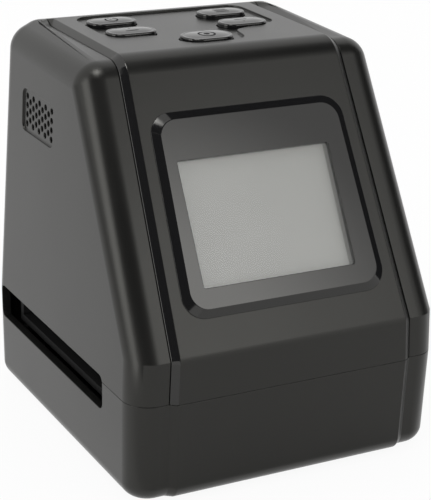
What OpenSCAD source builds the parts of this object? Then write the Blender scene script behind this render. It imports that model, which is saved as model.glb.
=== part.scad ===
// Desktop film negative scanner.
// +X is to the right of someone facing the screen, -Y is the front, +Z is up.
// The origin is at the centre of the footprint, on the plane the rubber feet stand on.

/* [Body] */
// Width across the two side cheeks at the parting line
body_w = 88.8; // [87:0.2:94]
// Depth of the side cheeks at the parting line
body_d = 92.8; // [91:0.2:98]
// Height of the casing, without the feet
body_h = 103.9; // [102.3:0.2:110.3]
// Height of the lower casing, up to the parting line
base_h = 26.8; // [26.4:0.1:28]
// Height of the knee where the screen slope starts
knee_h = 38.1; // [36.3:0.2:40.3]
// How far the screen slope leans back between the knee and the top
slope_run = 38.8; // [36:0.2:40]
// Wall thickness of both casings
wall = 2.4; // [2:0.1:2.8]
// Floor thickness of the lower casing
floor_t = 2.2; // [2:0.1:2.6]
// Radius of the four upright corners
corner_r = 7; // [6:0.5:7.5]
// Radius around the top and the edges of the slope
top_r = 7; // [6:0.5:7.5]
// Radius along the rear edge of the top
rear_r = 6; // [5:0.5:7]
// Radius around the bottom edge
bottom_r = 4.5; // [3:0.5:5]
// Lean of the upper sides, in degrees
side_draft = 1.7; // [1.3:0.1:2]
// Lean of the back, in degrees
back_draft = 3; // [2:0.1:3.5]
// Lean of the short front wall under the knee, in degrees
front_draft = 1.9; // [1:0.1:2.5]
// Lean of the lower casing's walls, in degrees
base_draft = 0.8; // [0.5:0.1:1.5]
// How far the back stands out past the rear line of the cheeks
back_out = 0.4; // [0.2:0.1:0.8]
// How far the top of each cheek rises towards the back
rear_rise = 0.6; // [0.4:0.1:1]

/* [Raised centre band] */
// Width of the band on the top
band_w = 60; // [58:0.5:62]
// How far the band stands proud of the cheeks
relief = 1.3; // [1:0.1:1.5]
// Width of the ramp along each edge of the band
ramp_w = 1.8; // [1.4:0.1:2.2]
// Width of the hollow beside the band at its rear end
groove_w = 6.2; // [5:0.1:6.5]
// Length over which the band's ramps die away at the rear
run_out = 3; // [2:0.5:5]
// How much each edge of the band spreads towards the base, in degrees
band_draft = 2.2; // [1.8:0.1:2.6]
// Wall thickness of the front cover
cover_t = 2.5; // [2.2:0.1:2.8]
// Seam between the front cover and the casing
seam_gap = 0.15; // [0.1:0.05:0.25]
// Width of the ledge that the front cover rests on
ledge_w = 2.2; // [1.8:0.1:2.4]
// Depth of the front cover's rear edge below the top
seam_drop = 14; // [12:0.5:16]

/* [Screen] */
// Width of the screen opening
aperture_w = 43.4; // [42.6:0.2:44]
// Height of the screen opening, along the slope
aperture_h = 32.2; // [31.6:0.2:33]
// Middle of the screen opening, to the right of the centre line
aperture_x = -1; // [-1.4:0.1:-0.6]
// Middle of the screen opening, measured up the slope from the knee
aperture_v = 32.6; // [31:0.2:34]
// Width of the bezel's foot along its lower edge
bezel_low_w = 58.2; // [57.4:0.2:58.8]
// Width of the bezel's foot along its upper edge
bezel_top_w = 55; // [54.2:0.2:56]
// Height of the bezel's foot, along the slope
bezel_h = 52.2; // [50.4:0.2:53]
// Lower edge of the bezel, measured up the slope from the knee
bezel_v = 9.2; // [8.8:0.2:9.8]
// Corner radius of the bezel's foot
bezel_r = 6; // [5:0.5:7]
// How far the bezel stands proud of the slope
bezel_proud = 1.1; // [0.9:0.1:1.3]
// Width of the bezel's bevelled edge
bezel_bevel = 2.1; // [1.6:0.1:2.4]
// Depth of the window pane's flange below the bezel's face
pane_drop = 1.2; // [1.1:0.1:1.4]
// Thickness of that flange
pane_t = 1; // [0.8:0.1:1.2]
// Ledge all round that holds the flange behind the opening
pane_lap = 1.5; // [1.3:0.1:1.7]
// Air gap between the pane and the display
display_gap = 0.5; // [0.4:0.1:0.8]
// Width of the display's picture
picture_w = 43.8; // [42:0.2:44.6]
// Height of the display's picture
picture_h = 32.4; // [31:0.2:33.2]
// Thickness of the display module
display_t = 2.4; // [2:0.1:2.6]

/* [Keys] */
// Distance from the centre line to the side keys
key_x = 16.5; // [16.1:0.1:16.9]
// Sideways offset of all the keys from the centre line
key_shift = -0.9; // [-1.2:0.1:-0.6]
// Distance from the back of the cheeks to the rear pair of keys
key_back = 19; // [18.8:0.1:19.6]
// Distance from the rear pair of keys to the middle pair
key_pitch = 12.3; // [12:0.1:12.6]
// Distance from the middle pair of keys to the front key
key_step = 11.1; // [10.7:0.1:11.5]
// Length of a side key
key_l = 13.9; // [13.5:0.1:14.3]
// Width of a side key
key_b = 7.7; // [7.5:0.1:7.9]
// Length of the front key
ok_l = 14.4; // [14:0.1:14.8]
// Width of the front key
ok_b = 9.4; // [9:0.1:9.6]
// How far the keys go down
key_travel = 0.4; // [0.3:0.05:0.45]
// Running gap around a key
key_gap = 0.25; // [0.2:0.05:0.3]
// Depth of the key recess in the top
pad_depth = 0.6; // [0.4:0.1:0.8]
// How far the crown of a key stands above the top
key_crown = 0.8; // [0.65:0.05:0.95]
// Thickness of the flange that keeps a key in
flange_t = 0.9; // [0.8:0.05:1]
// How far that flange reaches past the key
flange_lap = 0.6; // [0.5:0.05:0.7]

/* [Film slot] */
// Distance from the front of the cheeks to the slot
slot_from_front = 18.7; // [18.4:0.1:20]
// Distance from the back of the cheeks to the slot
slot_from_back = 5.1; // [4.8:0.1:6]
// Bottom of the slot above the casing's underside
slot_low = 18.9; // [18.7:0.1:19.1]
// Height of the slot
slot_h = 9.2; // [8.8:0.1:9.4]
// Corner radius of the slot
slot_r = 2; // [1:0.25:2.5]
// Film surface above the bottom of the slot
bed_rise = 1; // [0.8:0.1:1.2]
// Thickness of the film bed and of the film guide
plate_t = 2; // [1.8:0.1:2.2]
// Distance from the mouth of the slot in to the film bed
bed_inset = 4.5; // [4.2:0.1:6]
// Distance from the rear end of the slot to the film channel
channel_back = 5.3; // [5.1:0.1:6]
// Thickness of the front guide rail
rail_front_t = 3.5; // [3:0.1:3.8]
// Thickness of the rear guide rail
rail_rear_t = 1.8; // [1.5:0.1:1.9]
// Light window in the bed, along the film
gate_w = 38; // [36:0.5:40]
// Light window in the bed, across the film
gate_d = 27; // [25:0.5:28]

/* [Vent grille] */
// Distance from the back of the cheeks to the middle of the grille
vent_back = 28.7; // [27.4:0.1:30.4]
// Depth of the middle of the grille below the top
vent_drop = 21.1; // [20.4:0.1:22.4]
// Width of the recess around the holes
vent_w = 20.7; // [20:0.1:22]
// Height of the recess around the holes
vent_h = 11.4; // [11:0.1:12.4]
// Depth of that recess
vent_depth = 0.5; // [0.4:0.05:0.7]
// Diameter of a vent hole
vent_hole = 1.6; // [1.2:0.1:1.7]
// Distance between columns of holes
vent_pitch_y = 2.05; // [2:0.05:2.15]
// Distance between holes in a column
vent_pitch_z = 2.5; // [2.4:0.05:2.7]

/* [Camera and light] */
// Height of the light shroud above the film guide
shroud_h = 21.4; // [20:0.2:23]
// Outer radius of the lens barrel
barrel_r = 7; // [6.6:0.1:7.4]
// Radius of the lens elements
glass_r = 4.4; // [4:0.1:4.8]
// Height of the light box
light_box_h = 11; // [10.6:0.1:11.2]
// Thickness of the diffuser
diffuser_t = 1.4; // [1.2:0.1:1.6]

/* [Boards] */
// Depth of the main board below the top
main_drop = 26.4; // [25.6:0.2:27.6]
// Thickness of the circuit boards
board_t = 1.6; // [1.2:0.1:1.8]
// Height of a key switch
switch_h = 1.7; // [1.5:0.1:1.8]
// Radius of a key switch's plunger
plunger_r = 1.2; // [1:0.05:1.3]
// Middle of the card socket
card_x = -13; // [-14:0.5:-12]
// Middle of the data and power socket
usb_x = 14; // [13:0.5:18]

/* [Feet and screws] */
// How far the feet stand below the casing
foot_proud = 0.8; // [0.6:0.1:1.2]
// How far the feet are let into the casing
foot_sink = 1; // [0.6:0.1:1.2]
// Radius of a foot
foot_r = 5; // [4:0.25:5.5]
// Distance from the side of the casing to the middle of a foot
foot_side = 17; // [16:0.5:19]
// Distance from the front or back of the cheeks to the middle of a foot
foot_end = 12.4; // [11.4:0.5:14.4]
// Shank radius of the casing screws
screw_r = 1.25; // [1.1:0.05:1.4]
// Shank radius of the small screws
small_r = 0.9; // [0.8:0.05:1]
// Clearance between a screw and its bore
bore_gap = 0.05; // [0.05:0.01:0.1]

/* [Hidden] */

$fn = 48;
hull_fn = 32;      // facets of the rounded casing corners
skin = 0.02;       // thickness of the thin slices that a bevelled form is stretched over
past = 1;          // how far a cut runs past the face that it opens
far = 200;         // longer than the whole scanner
touch = 0.1;       // gap between a piece and the stop that it rests under
fit = 0.15;        // gap between a piece and the pocket that it drops into

charcoal = [0.13, 0.13, 0.13];
gloss_black = [0.04, 0.04, 0.045];
board_green = [0.05, 0.3, 0.14];
steel = [0.62, 0.63, 0.65];
ribbon_white = [0.85, 0.85, 0.8];

// Heights
z_bot = foot_proud;
z_part = z_bot + base_h;
z_knee = z_bot + knee_h;
z_top = z_bot + body_h;
z_seam = z_top - seam_drop;
z_floor = z_bot + floor_t;
depth_in = relief + wall;              // from the band's face to the inside of the casing
base_lean = base_h * tan(base_draft);  // how far a lower wall leans in at its foot

// Side profile of the band: front wall, slope, top and back, as y against z
front_y = -(body_d / 2 + relief);
function front_at(z) = front_y + (z - z_part) * tan(front_draft);
back_y = body_d / 2 + back_out;
function back_at(z) = back_y - (z - z_part) * tan(back_draft);
knee_y = front_at(z_knee);
slope_a = atan2(z_top - z_knee, slope_run);
band_r = top_r + relief;
arc_z = z_top - band_r;
arc_front_y = knee_y + (arc_z - z_knee) / tan(slope_a) + band_r / sin(slope_a);
arc_back_z = z_top - rear_r;
arc_back_y = back_at(arc_back_z) - rear_r / cos(back_draft);
function knee_z_at(d) = z_knee - d * (1 / sin(slope_a) - 1) * tan(slope_a);
vent_y = body_d / 2 - vent_back;
vent_z = z_top - vent_drop;
foot_x = body_w / 2 - foot_side;
foot_y = body_d / 2 - foot_end;
function side_at(z) = body_w / 2 - abs(z - z_part) * tan(z < z_part ? base_draft : side_draft);

// Height and depth of a point that is v up the slope from the knee and n out of it
function slope_y(v, n) = knee_y + v * cos(slope_a) - n * sin(slope_a);
function slope_z(v, n) = z_knee + v * sin(slope_a) + n * cos(slope_a);

// Corners of an outline rounded to radius r, with steps points to each corner
function corner(a, b, c, r, steps) =
    let (u = (a - b) / norm(a - b), w = (c - b) / norm(c - b), half = acos(u * w) / 2,
        m = b + (u + w) / norm(u + w) * r / sin(half),
        from = b + u * r / tan(half) - m, to = b + w * r / tan(half) - m,
        a0 = atan2(from[1], from[0]), turn = atan2(to[1], to[0]) - a0,
        sweep = turn > 180 ? turn - 360 : turn < -180 ? turn + 360 : turn)
    [for (i = [0:steps]) m + r * [cos(a0 + sweep * i / steps), sin(a0 + sweep * i / steps)]];
function rounded(pts, r, steps = 8) = let (n = len(pts))
    [for (i = [0:n - 1]) each corner(pts[(i + n - 1) % n], pts[i], pts[(i + 1) % n],
        is_list(r) ? r[i] : r, steps)];
function oblong(w, h) = [[-w / 2, -h / 2], [w / 2, -h / 2], [w / 2, h / 2], [-w / 2, h / 2]];

// Keypad
key_rear_y = body_d / 2 - key_back;
key_mid_y = key_rear_y - key_pitch;
key_front_y = key_mid_y - key_step;
cover_under = z_top - cover_t;
flange_top = cover_under - touch;
flange_low = flange_top - flange_t;
key_stem = 0.6;
stem_low = flange_low - key_stem;
key_board_top = stem_low - switch_h - key_travel - 0.1;
key_board_w = 2 * key_x + key_l;
key_board_front = key_front_y - 4.6;
key_board_rear = key_rear_y + 4.3;
key_board_screw_x = key_board_w / 2 - 2.5;
key_board_screw_at = [[-key_board_screw_x, key_front_y + 0.4], [key_board_screw_x, key_front_y + 0.4],
    [0, key_rear_y - 1.7]];
switch_w = 4.6;
plunger_low = key_board_top + key_travel + 0.45;
pad_half = key_x + key_l / 2 + 1.6;
pad_outline = [[pad_half, key_rear_y + key_b / 2 + 5], [pad_half + 0.3, key_mid_y - 0.9],
    [ok_l / 2 + 3.2, key_front_y + 5], [ok_l / 2 + 1.5, key_front_y - ok_b / 2 - 0.5]];
pad_pts = concat([for (p = pad_outline) [-p[0], p[1]]], [for (i = [3:-1:0]) pad_outline[i]]);
pad_radii = [4.5, 3.4, 3, 5, 5, 3, 3.4, 4.5];

// Screen stack, as heights n above the face of the slope
pane_gap = 0.06;
picture_rise = 0.2;
pane_top = bezel_proud - pane_drop;
pane_low = pane_top - pane_t;
display_top = pane_low - display_gap;
display_low = display_top - display_t;
pocket_w = aperture_w + 2 * pane_lap + 2 * fit;
pocket_h = aperture_h + 2 * pane_lap + 2 * fit;
rim_wall = 1.3;
rim_low = -cover_t + touch;
window_w = pocket_w + 2 * rim_wall + 2 * fit;
window_h = pocket_h + 2 * rim_wall + 2 * fit;
display_w = pocket_w - 2 * fit - 0.4;
display_h = pocket_h - 2 * fit - 0.4;
frame_t = 1.2;
frame_w = window_w + 8.6;
frame_boss_r = 2;
frame_screw_u = window_w / 2 + 2.5;
frame_screw_v = 13;

// Film path
z_slot = z_bot + slot_low;
z_slot_top = z_slot + slot_h;
z_bed = z_slot + bed_rise;
z_guide = z_slot_top;
slot_front = slot_from_front - body_d / 2;
slot_rear = body_d / 2 - slot_from_back;
channel_front = slot_front - 0.3;
channel_rear = slot_rear - channel_back;
optic_y = (channel_front + channel_rear) / 2;
bed_half = body_w / 2 - bed_inset;
bed_front = channel_front - rail_front_t;
bed_rear = channel_rear + rail_rear_t;
bed_post_x = bed_half - 5.5;
bed_post_at = [for (x = [-bed_post_x, bed_post_x], y = [bed_front + 7.5, bed_rear - 7.8]) [x, y]];
bed_post_r = 3.2;
light_box_w = gate_w + 12;
light_box_d = gate_d + 12;
light_box_wall = 1.8;
z_led_board = z_bed - plate_t - light_box_h - 1.2;
led_board_t = 1.2;

// Casing screws
boss_x = body_w / 2 - 9;
boss_front_y = front_y + relief + 9.4;
boss_rear_y = back_y - 5.2;
boss_r = 2.9;
sleeve_r = 3.9;
head_r = 2.6;
head_t = 2;
head_z = z_bot + 10;
screw_len = 26;
boss_top = head_z + head_t + screw_len + 2;
boss_at = [[-boss_x, boss_front_y], [boss_x, boss_front_y], [-boss_x, boss_rear_y], [boss_x, boss_rear_y]];

// Front cover screws
cover_boss_x = key_x + key_l / 2 + flange_lap + 2.6;
cover_boss_at = [for (x = [-cover_boss_x, cover_boss_x], y = [key_front_y - 4.6, key_mid_y + 6]) [x, y]];
cover_boss_r = 2.2;
cover_boss_h = 5;
tab_top = cover_under - cover_boss_h;
tab_t = 2.2;

// Main board
z_main = z_top - main_drop;
main_w = 2 * (side_at(z_main) - wall - 4.85);
main_front = optic_y + 4;
main_rear = back_at(z_main) - wall - 0.8;
shelf_in = main_w / 2 - 4;
shelf_t = 2.4;
main_screw_x = main_w / 2 - 2;
main_screw_at = [for (x = [-main_screw_x, main_screw_x], y = [main_front + 4, main_rear - 4]) [x, y]];
card_w = 28;
card_d = 24;
card_t = 2.8;
usb_w = 9;
usb_d = 11;
usb_t = 3.9;

// Camera
z_guide_top = z_guide + plate_t;
z_shroud_top = z_guide_top + shroud_h;
barrel_flange_t = 2;
z_barrel_top = z_shroud_top + barrel_flange_t;
holder_h = 8;
z_sensor_board = z_barrel_top + holder_h;
guide_shelf_at = [bed_front + 11.5, bed_rear - 11.8];
guide_shelf_in = bed_half - 4;
shroud_w = gate_w + 6;
shroud_d = gate_d + 5;
shroud_wall = 1.6;
shroud_flange = 5;

// ---------------------------------------------------------------- shared forms

// Turns a drawing of y against z into a bar along X, w wide
module across(w) rotate([90, 0, 90]) linear_extrude(w, center = true) children();

// Turns a drawing of x against z into a bar along Y from y0 to y1
module along(y0, y1) translate([0, y1, 0]) rotate([90, 0, 0]) linear_extrude(y1 - y0) children();

// Places a piece on the screen slope: x across, y up the slope, z out of it
module on_slope() translate([0, knee_y, z_knee]) rotate([slope_a, 0, 0]) children();

// Points of an arc about c from angle a0 to a1
function arc(c, r, a0, a1, steps) =
    [for (i = [0:steps]) c + r * [cos(a0 + (a1 - a0) * i / steps), sin(a0 + (a1 - a0) * i / steps)]];

// Side outline of the upper casing, d inside the face of the band
module profile(d) polygon(concat(
    [[front_y + d, z_part - past], [front_y + d, z_part], [knee_y + d, knee_z_at(d)]],
    arc([arc_front_y, arc_z], band_r - d, slope_a + 90, 90, 8),
    arc([arc_back_y, arc_back_z], rear_r - d, 90, back_draft, 12),
    [[back_y - d, z_part], [back_y - d, z_part - past]]));

// Everything between the band's two edges, moved out by extra on each side
module between_edges(extra, y0 = -far, y1 = far) along(y0, y1) {
    top = band_w / 2 + extra;
    spread = (z_top - z_part) * tan(band_draft);
    lift = past * tan(band_draft);
    polygon([[-top - spread - lift, z_part - past], [top + spread + lift, z_part - past],
        [top - lift, z_top + past], [-top + lift, z_top + past]]);
}

// A flat cone whose wide ring lies at z = 0; up is 1 when it narrows upwards
module ring(r, up) mirror([0, 0, up > 0 ? 0 : 1]) cylinder(r1 = r, r2 = r / 2, h = 1, $fn = hull_fn);

// The casing above the parting line, d inside the band's face; drop carries it below the line
module upper_form(d, drop = 0) {
    inset = d - relief;
    hull() for (s = [-1, 1]) {
        x = s * (side_at(z_part) - corner_r);
        translate([x, front_y + relief + corner_r, z_part - drop]) ring(corner_r - inset, 1);
        translate([x, back_y - corner_r, z_part - drop]) ring(corner_r - inset, 1);
        translate([s * (side_at(z_knee) - corner_r), knee_y + relief + corner_r, knee_z_at(d)])
            ring(corner_r - inset, -1);
        for (y = [arc_front_y, back_at(arc_z) - top_r / cos(back_draft)])
            translate([s * (side_at(arc_z) - top_r), y, arc_z]) sphere(top_r - inset, $fn = hull_fn);
    }
}

// Outside of the upper casing: its cheeks rise to be level with the band along the rear edge
module upper_outside() hull() {
    upper_form(relief);
    for (s = [-1, 1]) {
        translate([s * (side_at(arc_z) - top_r), back_at(arc_z) - top_r / cos(back_draft), arc_z + rear_rise])
            sphere(top_r, $fn = hull_fn);
        translate([s * (band_w / 2 + 2 * ramp_w), arc_back_y, arc_back_z]) sphere(rear_r, $fn = hull_fn);
    }
}

// One section across that hollow: its flat floor reaches the seam, then it slopes up to reach w
module groove_section(y, low, w) along(y, y + skin) {
    foot = ramp_w + seam_gap;
    translate([band_w / 2, z_top]) polygon([[0, -low], [foot, -low], [w, 0], [w, past], [0, past]]);
}

// The hollow beside the band on the top, which gets wider towards the back and then dies away
module top_grooves() for (s = [0, 1]) mirror([s, 0, 0]) hull() {
    groove_section(arc_front_y, relief, ramp_w + seam_gap);
    groove_section(arc_back_y - run_out, relief, groove_w);
    groove_section(arc_back_y, 0, ramp_w + 2 * seam_gap);
}

// The raised band above the parting line, with ramped edges that end at the rear edge of the top
module upper_band() intersection() {
    union() {
        hull() {
            intersection() {
                across(far) profile(0);
                between_edges(0);
            }
            intersection() {
                across(far) profile(relief);
                between_edges(ramp_w);
            }
        }
        hull() {
            intersection() {
                across(far) profile(0);
                between_edges(ramp_w, arc_back_y, far);
            }
            intersection() {
                across(far) profile(relief);
                between_edges(ramp_w, arc_back_y - run_out, far);
            }
        }
    }
    translate([-far / 2, -far / 2, z_part]) cube(far);
}

// A disc with a rounded lower edge, for the corners of the lower casing
module foot_disc(r, edge) rotate_extrude($fn = hull_fn) intersection() {
    translate([r - edge, edge]) circle(edge, $fn = hull_fn);
    square([r, edge]);
}

// The casing below the parting line, inset from its outside
module lower_form(inset, floor_z) hull() for (s = [-1, 1], e = [-1, 1]) {
    end = e > 0 ? back_y : body_d / 2;
    translate([s * (side_at(z_part) - corner_r), e * (end - corner_r), z_part + (inset > 0 ? past : 0)])
        ring(corner_r - inset, -1);
    translate([s * (side_at(z_bot) - corner_r), e * (end - base_lean - corner_r), floor_z])
        foot_disc(corner_r - inset, max(bottom_r - inset, 1));
}

// The band on the front of the lower casing, with its ramped edges
module lower_band() {
    w = band_w / 2 + (z_top - z_part) * tan(band_draft);
    hull() for (layer = [[0, w], [relief, w + ramp_w]]) intersection() {
        across(far) hull() {
            translate([front_y + layer[0] + base_lean + bottom_r, z_bot + bottom_r])
                circle(bottom_r, $fn = hull_fn);
            polygon([[0, z_part], [front_y + layer[0], z_part], [0, z_bot]]);
        }
        along(-far, far) polygon([[-layer[1], z_part], [layer[1], z_part],
            [layer[1] - base_lean, z_bot], [base_lean - layer[1], z_bot]]);
    }
}

// A bore or a shank that stands on z
module rod(at, r, z0, z1) translate([at[0], at[1], z0]) cylinder(r = r, h = z1 - z0);

// The film slot through both side walls
module film_slot() for (s = [-1, 1]) translate([s * bed_half, 0, 0]) rotate([90, 0, s * 90])
    linear_extrude(far) polygon(rounded([[s * slot_front, z_slot], [s * slot_rear, z_slot],
        [s * slot_rear, z_slot_top], [s * slot_front, z_slot_top]], slot_r));

// Recess and holes of one vent grille, s is -1 for the left side
module vent(s) {
    face = side_at(vent_z);
    translate([s * face, vent_y, vent_z]) rotate([0, s * side_draft * -1, 0]) {
        rotate([90, 0, 90]) translate([0, 0, s > 0 ? -vent_depth : -past])
            linear_extrude(vent_depth + past) polygon(rounded(oblong(vent_w, vent_h), 2, 5));
        for (i = [-4:4], j = [0:(i % 2 == 0 ? 3 : 2)])
            translate([0, i * vent_pitch_y, (j - (i % 2 == 0 ? 1.5 : 1)) * vent_pitch_z])
                rotate([0, 90, 0]) cylinder(d = vent_hole, h = 4 * wall, center = true, $fn = 16);
    }
}

// ---------------------------------------------------------------- casing

module upper_housing() color(charcoal) difference() {
    union() {
        difference() {
            upper_outside();
            upper_form(depth_in, past);
            top_grooves();
            between_edges(ramp_w + seam_gap, -far, arc_back_y - wall);
            translate([0, 0, z_seam]) intersection() {
                translate([-far / 2, 0, 0]) cube(far);
                translate([0, 0, -z_seam]) between_edges(ramp_w + seam_gap);
            }
        }
        cover_ledge();
        for (p = boss_at) rod(p, boss_r, z_part, boss_top);
        // ribs and shelves that grow out of the walls
        intersection() {
            upper_form(relief + wall / 2);
            union() {
                for (p = boss_at) translate([p[0] > 0 ? p[0] : p[0] - far, p[1] - 0.8, z_part])
                    cube([far, 1.6, boss_top - z_part]);
                side_shelf(shelf_in, main_front, main_rear - 0.4, z_main - shelf_t, z_main);
                for (y = guide_shelf_at)
                    side_shelf(guide_shelf_in, y - 3.5, y + 3.5, z_guide_top, z_guide_top + shelf_t);
                for (p = cover_boss_at) if (p[0] > 0)
                    side_shelf(p[0] - cover_boss_r, p[1] - 3, p[1] + 3, tab_top - tab_t, tab_top);
            }
        }
    }
    film_slot();
    for (s = [-1, 1]) vent(s);
    for (p = boss_at) rod(p, screw_r + bore_gap, z_part - past, boss_top - 1);
    for (p = main_screw_at) rod(p, small_r + bore_gap, z_main - shelf_t - past, z_main + past);
    for (y = guide_shelf_at, s = [-1, 1])
        rod([s * (guide_shelf_in + 1.9), y], small_r + bore_gap,
            z_guide_top - past, z_guide_top + shelf_t + past);
    for (p = cover_boss_at) rod(p, small_r + bore_gap, tab_top - tab_t - past, tab_top + past);
    socket_cuts();
}

// Two matching shelves that reach in from the side walls to x = inner
module side_shelf(inner, y0, y1, z0, z1) for (s = [-1, 1])
    translate([s > 0 ? inner : -far - inner, y0, z0]) cube([far, y1 - y0, z1 - z0]);

// Rebated ledge under the edges of the front cover
module cover_ledge() intersection() {
    difference() {
        across(far) profile(cover_t);
        across(far + past) profile(depth_in);
        difference() {
            between_edges(ramp_w - ledge_w);
            translate([-far / 2, 0, -far + z_seam + ledge_w]) cube(far);
        }
        translate([-far / 2, arc_back_y, -far + z_seam - ledge_w]) cube(far);
    }
    between_edges(ramp_w + seam_gap + 0.5);
    translate([-far / 2, -far / 2, z_part]) cube(far);
}

// Openings in the back for the card socket and the data socket
module socket_cuts() {
    z0 = z_main + board_t;
    translate([card_x - card_w / 2 + 1.5, main_rear, z0 + 0.2]) cube([card_w - 3, far, card_t - 0.4]);
    translate([usb_x - usb_w / 2 - fit, main_rear - past, z0 - fit])
        cube([usb_w + 2 * fit, far, usb_t + 2 * fit]);
}

module front_cover() color(charcoal) difference() {
    union() {
        difference() {
            upper_band();
            across(far) profile(cover_t);
            translate([-far / 2, arc_back_y - wall, -far + z_seam + seam_gap]) cube(far);
        }
        for (p = key_board_screw_at) rod(p, 2, key_board_top, cover_under + 0.5);
        for (p = cover_boss_at) rod(p, cover_boss_r, tab_top, cover_under + 0.5);
        on_slope() for (u = [-frame_screw_u, frame_screw_u], v = [-frame_screw_v, frame_screw_v])
            rod([aperture_x + u, aperture_v + v], frame_boss_r, display_low, -cover_t + 0.5);
        // tongues that hook behind the lower casing's front wall
        for (x = [-20, 8]) {
            translate([x, front_y + depth_in + fit, z_part - 3]) cube([12, 1.4, 6]);
            translate([x, front_y + cover_t - 0.2, z_part + seam_gap])
                cube([12, depth_in - cover_t + 1, 2.8]);
        }
    }
    on_slope() translate([aperture_x - window_w / 2, aperture_v - window_h / 2, -far / 2])
        cube([window_w, window_h, far]);
    translate([0, 0, z_top - pad_depth]) linear_extrude(far) polygon(rounded(pad_pts, pad_radii));
    for (k = side_keys) translate([k[0], k[1], cover_under - past])
        linear_extrude(far) stadium(key_l + 2 * key_gap, key_b + 2 * key_gap);
    translate([ok_at[0], ok_at[1], cover_under - past]) linear_extrude(far)
        stadium(ok_l + 2 * key_gap, ok_b + 2 * key_gap);
    for (p = key_board_screw_at) rod(p, small_r + bore_gap, key_board_top - past, cover_under + 0.6);
    for (p = cover_boss_at) rod(p, small_r + bore_gap, tab_top - past, cover_under + 0.6);
    on_slope() for (u = [-frame_screw_u, frame_screw_u], v = [-frame_screw_v, frame_screw_v])
        rod([aperture_x + u, aperture_v + v], small_r + bore_gap, display_low - past, -0.8);
}

module base_housing() color(charcoal) difference() {
    union() {
        lower_form(0, z_bot);
        lower_band();
    }
    difference() {
        lower_form(wall, z_floor);
        for (p = boss_at) {
            rod(p, sleeve_r, z_bot, z_slot - plate_t - 2);
            rod(p, boss_r, z_bot, z_part);
        }
        for (p = bed_post_at) rod(p, bed_post_r, z_bot, z_bed - plate_t);
        for (x = [-1, 1], y = [-1, 1])
            translate([x * light_box_w * 0.4 - 1.5, optic_y + y * light_box_d * 0.4 - 1.5, z_bot])
                cube([3, 3, z_led_board - z_bot]);
    }
    film_slot();
    for (p = boss_at) {
        rod(p, head_r + 0.3, z_bot - past, head_z);
        rod(p, screw_r + 0.35, z_bot, z_part + past);
    }
    for (p = bed_post_at) rod(p, small_r + bore_gap, z_floor + 2, z_bed);
    for (x = [-foot_x, foot_x], y = [-foot_y, foot_y])
        rod([x, y], foot_r + fit, z_bot - past, z_bot + foot_sink);
}

// ---------------------------------------------------------------- screen

// Outline of the bezel, inset from its foot
function bezel_outline(inset) = let (
        lean = (bezel_low_w - bezel_top_w) / 2 / bezel_h,
        lo = bezel_low_w / 2 - inset * (1 + lean), hi = bezel_top_w / 2 - inset * (1 - lean))
    rounded([[-lo, bezel_v + inset], [lo, bezel_v + inset],
        [hi, bezel_v + bezel_h - inset], [-hi, bezel_v + bezel_h - inset]], bezel_r - inset * 0.6, 10);

module screen_bezel() color(gloss_black) on_slope() difference() {
    union() {
        hull() {
            linear_extrude(skin) polygon(bezel_outline(0));
            translate([0, 0, bezel_proud - skin]) linear_extrude(skin) polygon(bezel_outline(bezel_bevel));
        }
        translate([aperture_x, aperture_v, rim_low]) linear_extrude(-rim_low + skin)
            square([pocket_w + 2 * rim_wall, pocket_h + 2 * rim_wall], center = true);
    }
    translate([aperture_x, aperture_v, 0]) {
        linear_extrude(far, center = true)
            polygon(rounded(oblong(aperture_w, aperture_h), 0.6, 4));
        translate([0, 0, pane_top - far]) linear_extrude(far) square([pocket_w, pocket_h], center = true);
    }
}

// The pane fills the opening, flush with the bezel's face, and its flange lies behind the ledge
module screen_lens() color([0.25, 0.27, 0.28, 0.5]) on_slope() translate([aperture_x, aperture_v, pane_low]) {
    linear_extrude(pane_t - touch / 2) square([pocket_w - 2 * fit, pocket_h - 2 * fit], center = true);
    linear_extrude(bezel_proud - pane_low - pane_gap)
        polygon(rounded(oblong(aperture_w - 2 * pane_gap, aperture_h - 2 * pane_gap), 0.6, 4));
}

// The picture area stands a little proud of the module's border
module lcd_module() color([0.62, 0.63, 0.62]) on_slope() translate([aperture_x, aperture_v, display_low]) {
    linear_extrude(display_t - picture_rise) square([display_w, display_h], center = true);
    linear_extrude(display_t) square([picture_w, picture_h], center = true);
}

module lcd_frame() color(steel) on_slope() difference() {
    translate([aperture_x, aperture_v, display_low - frame_t]) linear_extrude(frame_t)
        polygon(rounded(oblong(frame_w, display_h + 2), 2.5, 4));
    translate([aperture_x, aperture_v, display_low - frame_t - past]) linear_extrude(frame_t + 2 * past)
        square([display_w - 12, display_h - 12], center = true);
    for (u = [-frame_screw_u, frame_screw_u], v = [-frame_screw_v, frame_screw_v])
        rod([aperture_x + u, aperture_v + v], small_r + bore_gap,
            display_low - frame_t - past, display_low + past);
}

// ---------------------------------------------------------------- keys

side_keys = [for (y = [key_rear_y, key_mid_y], x = [-key_x, key_x]) [key_shift + x, y]];
ok_at = [key_shift, key_front_y];

module stadium(l, b) {
    square([l - b, b], center = true);
    for (s = [-1, 1]) translate([s * (l - b) / 2, 0]) circle(b / 2);
}

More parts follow.
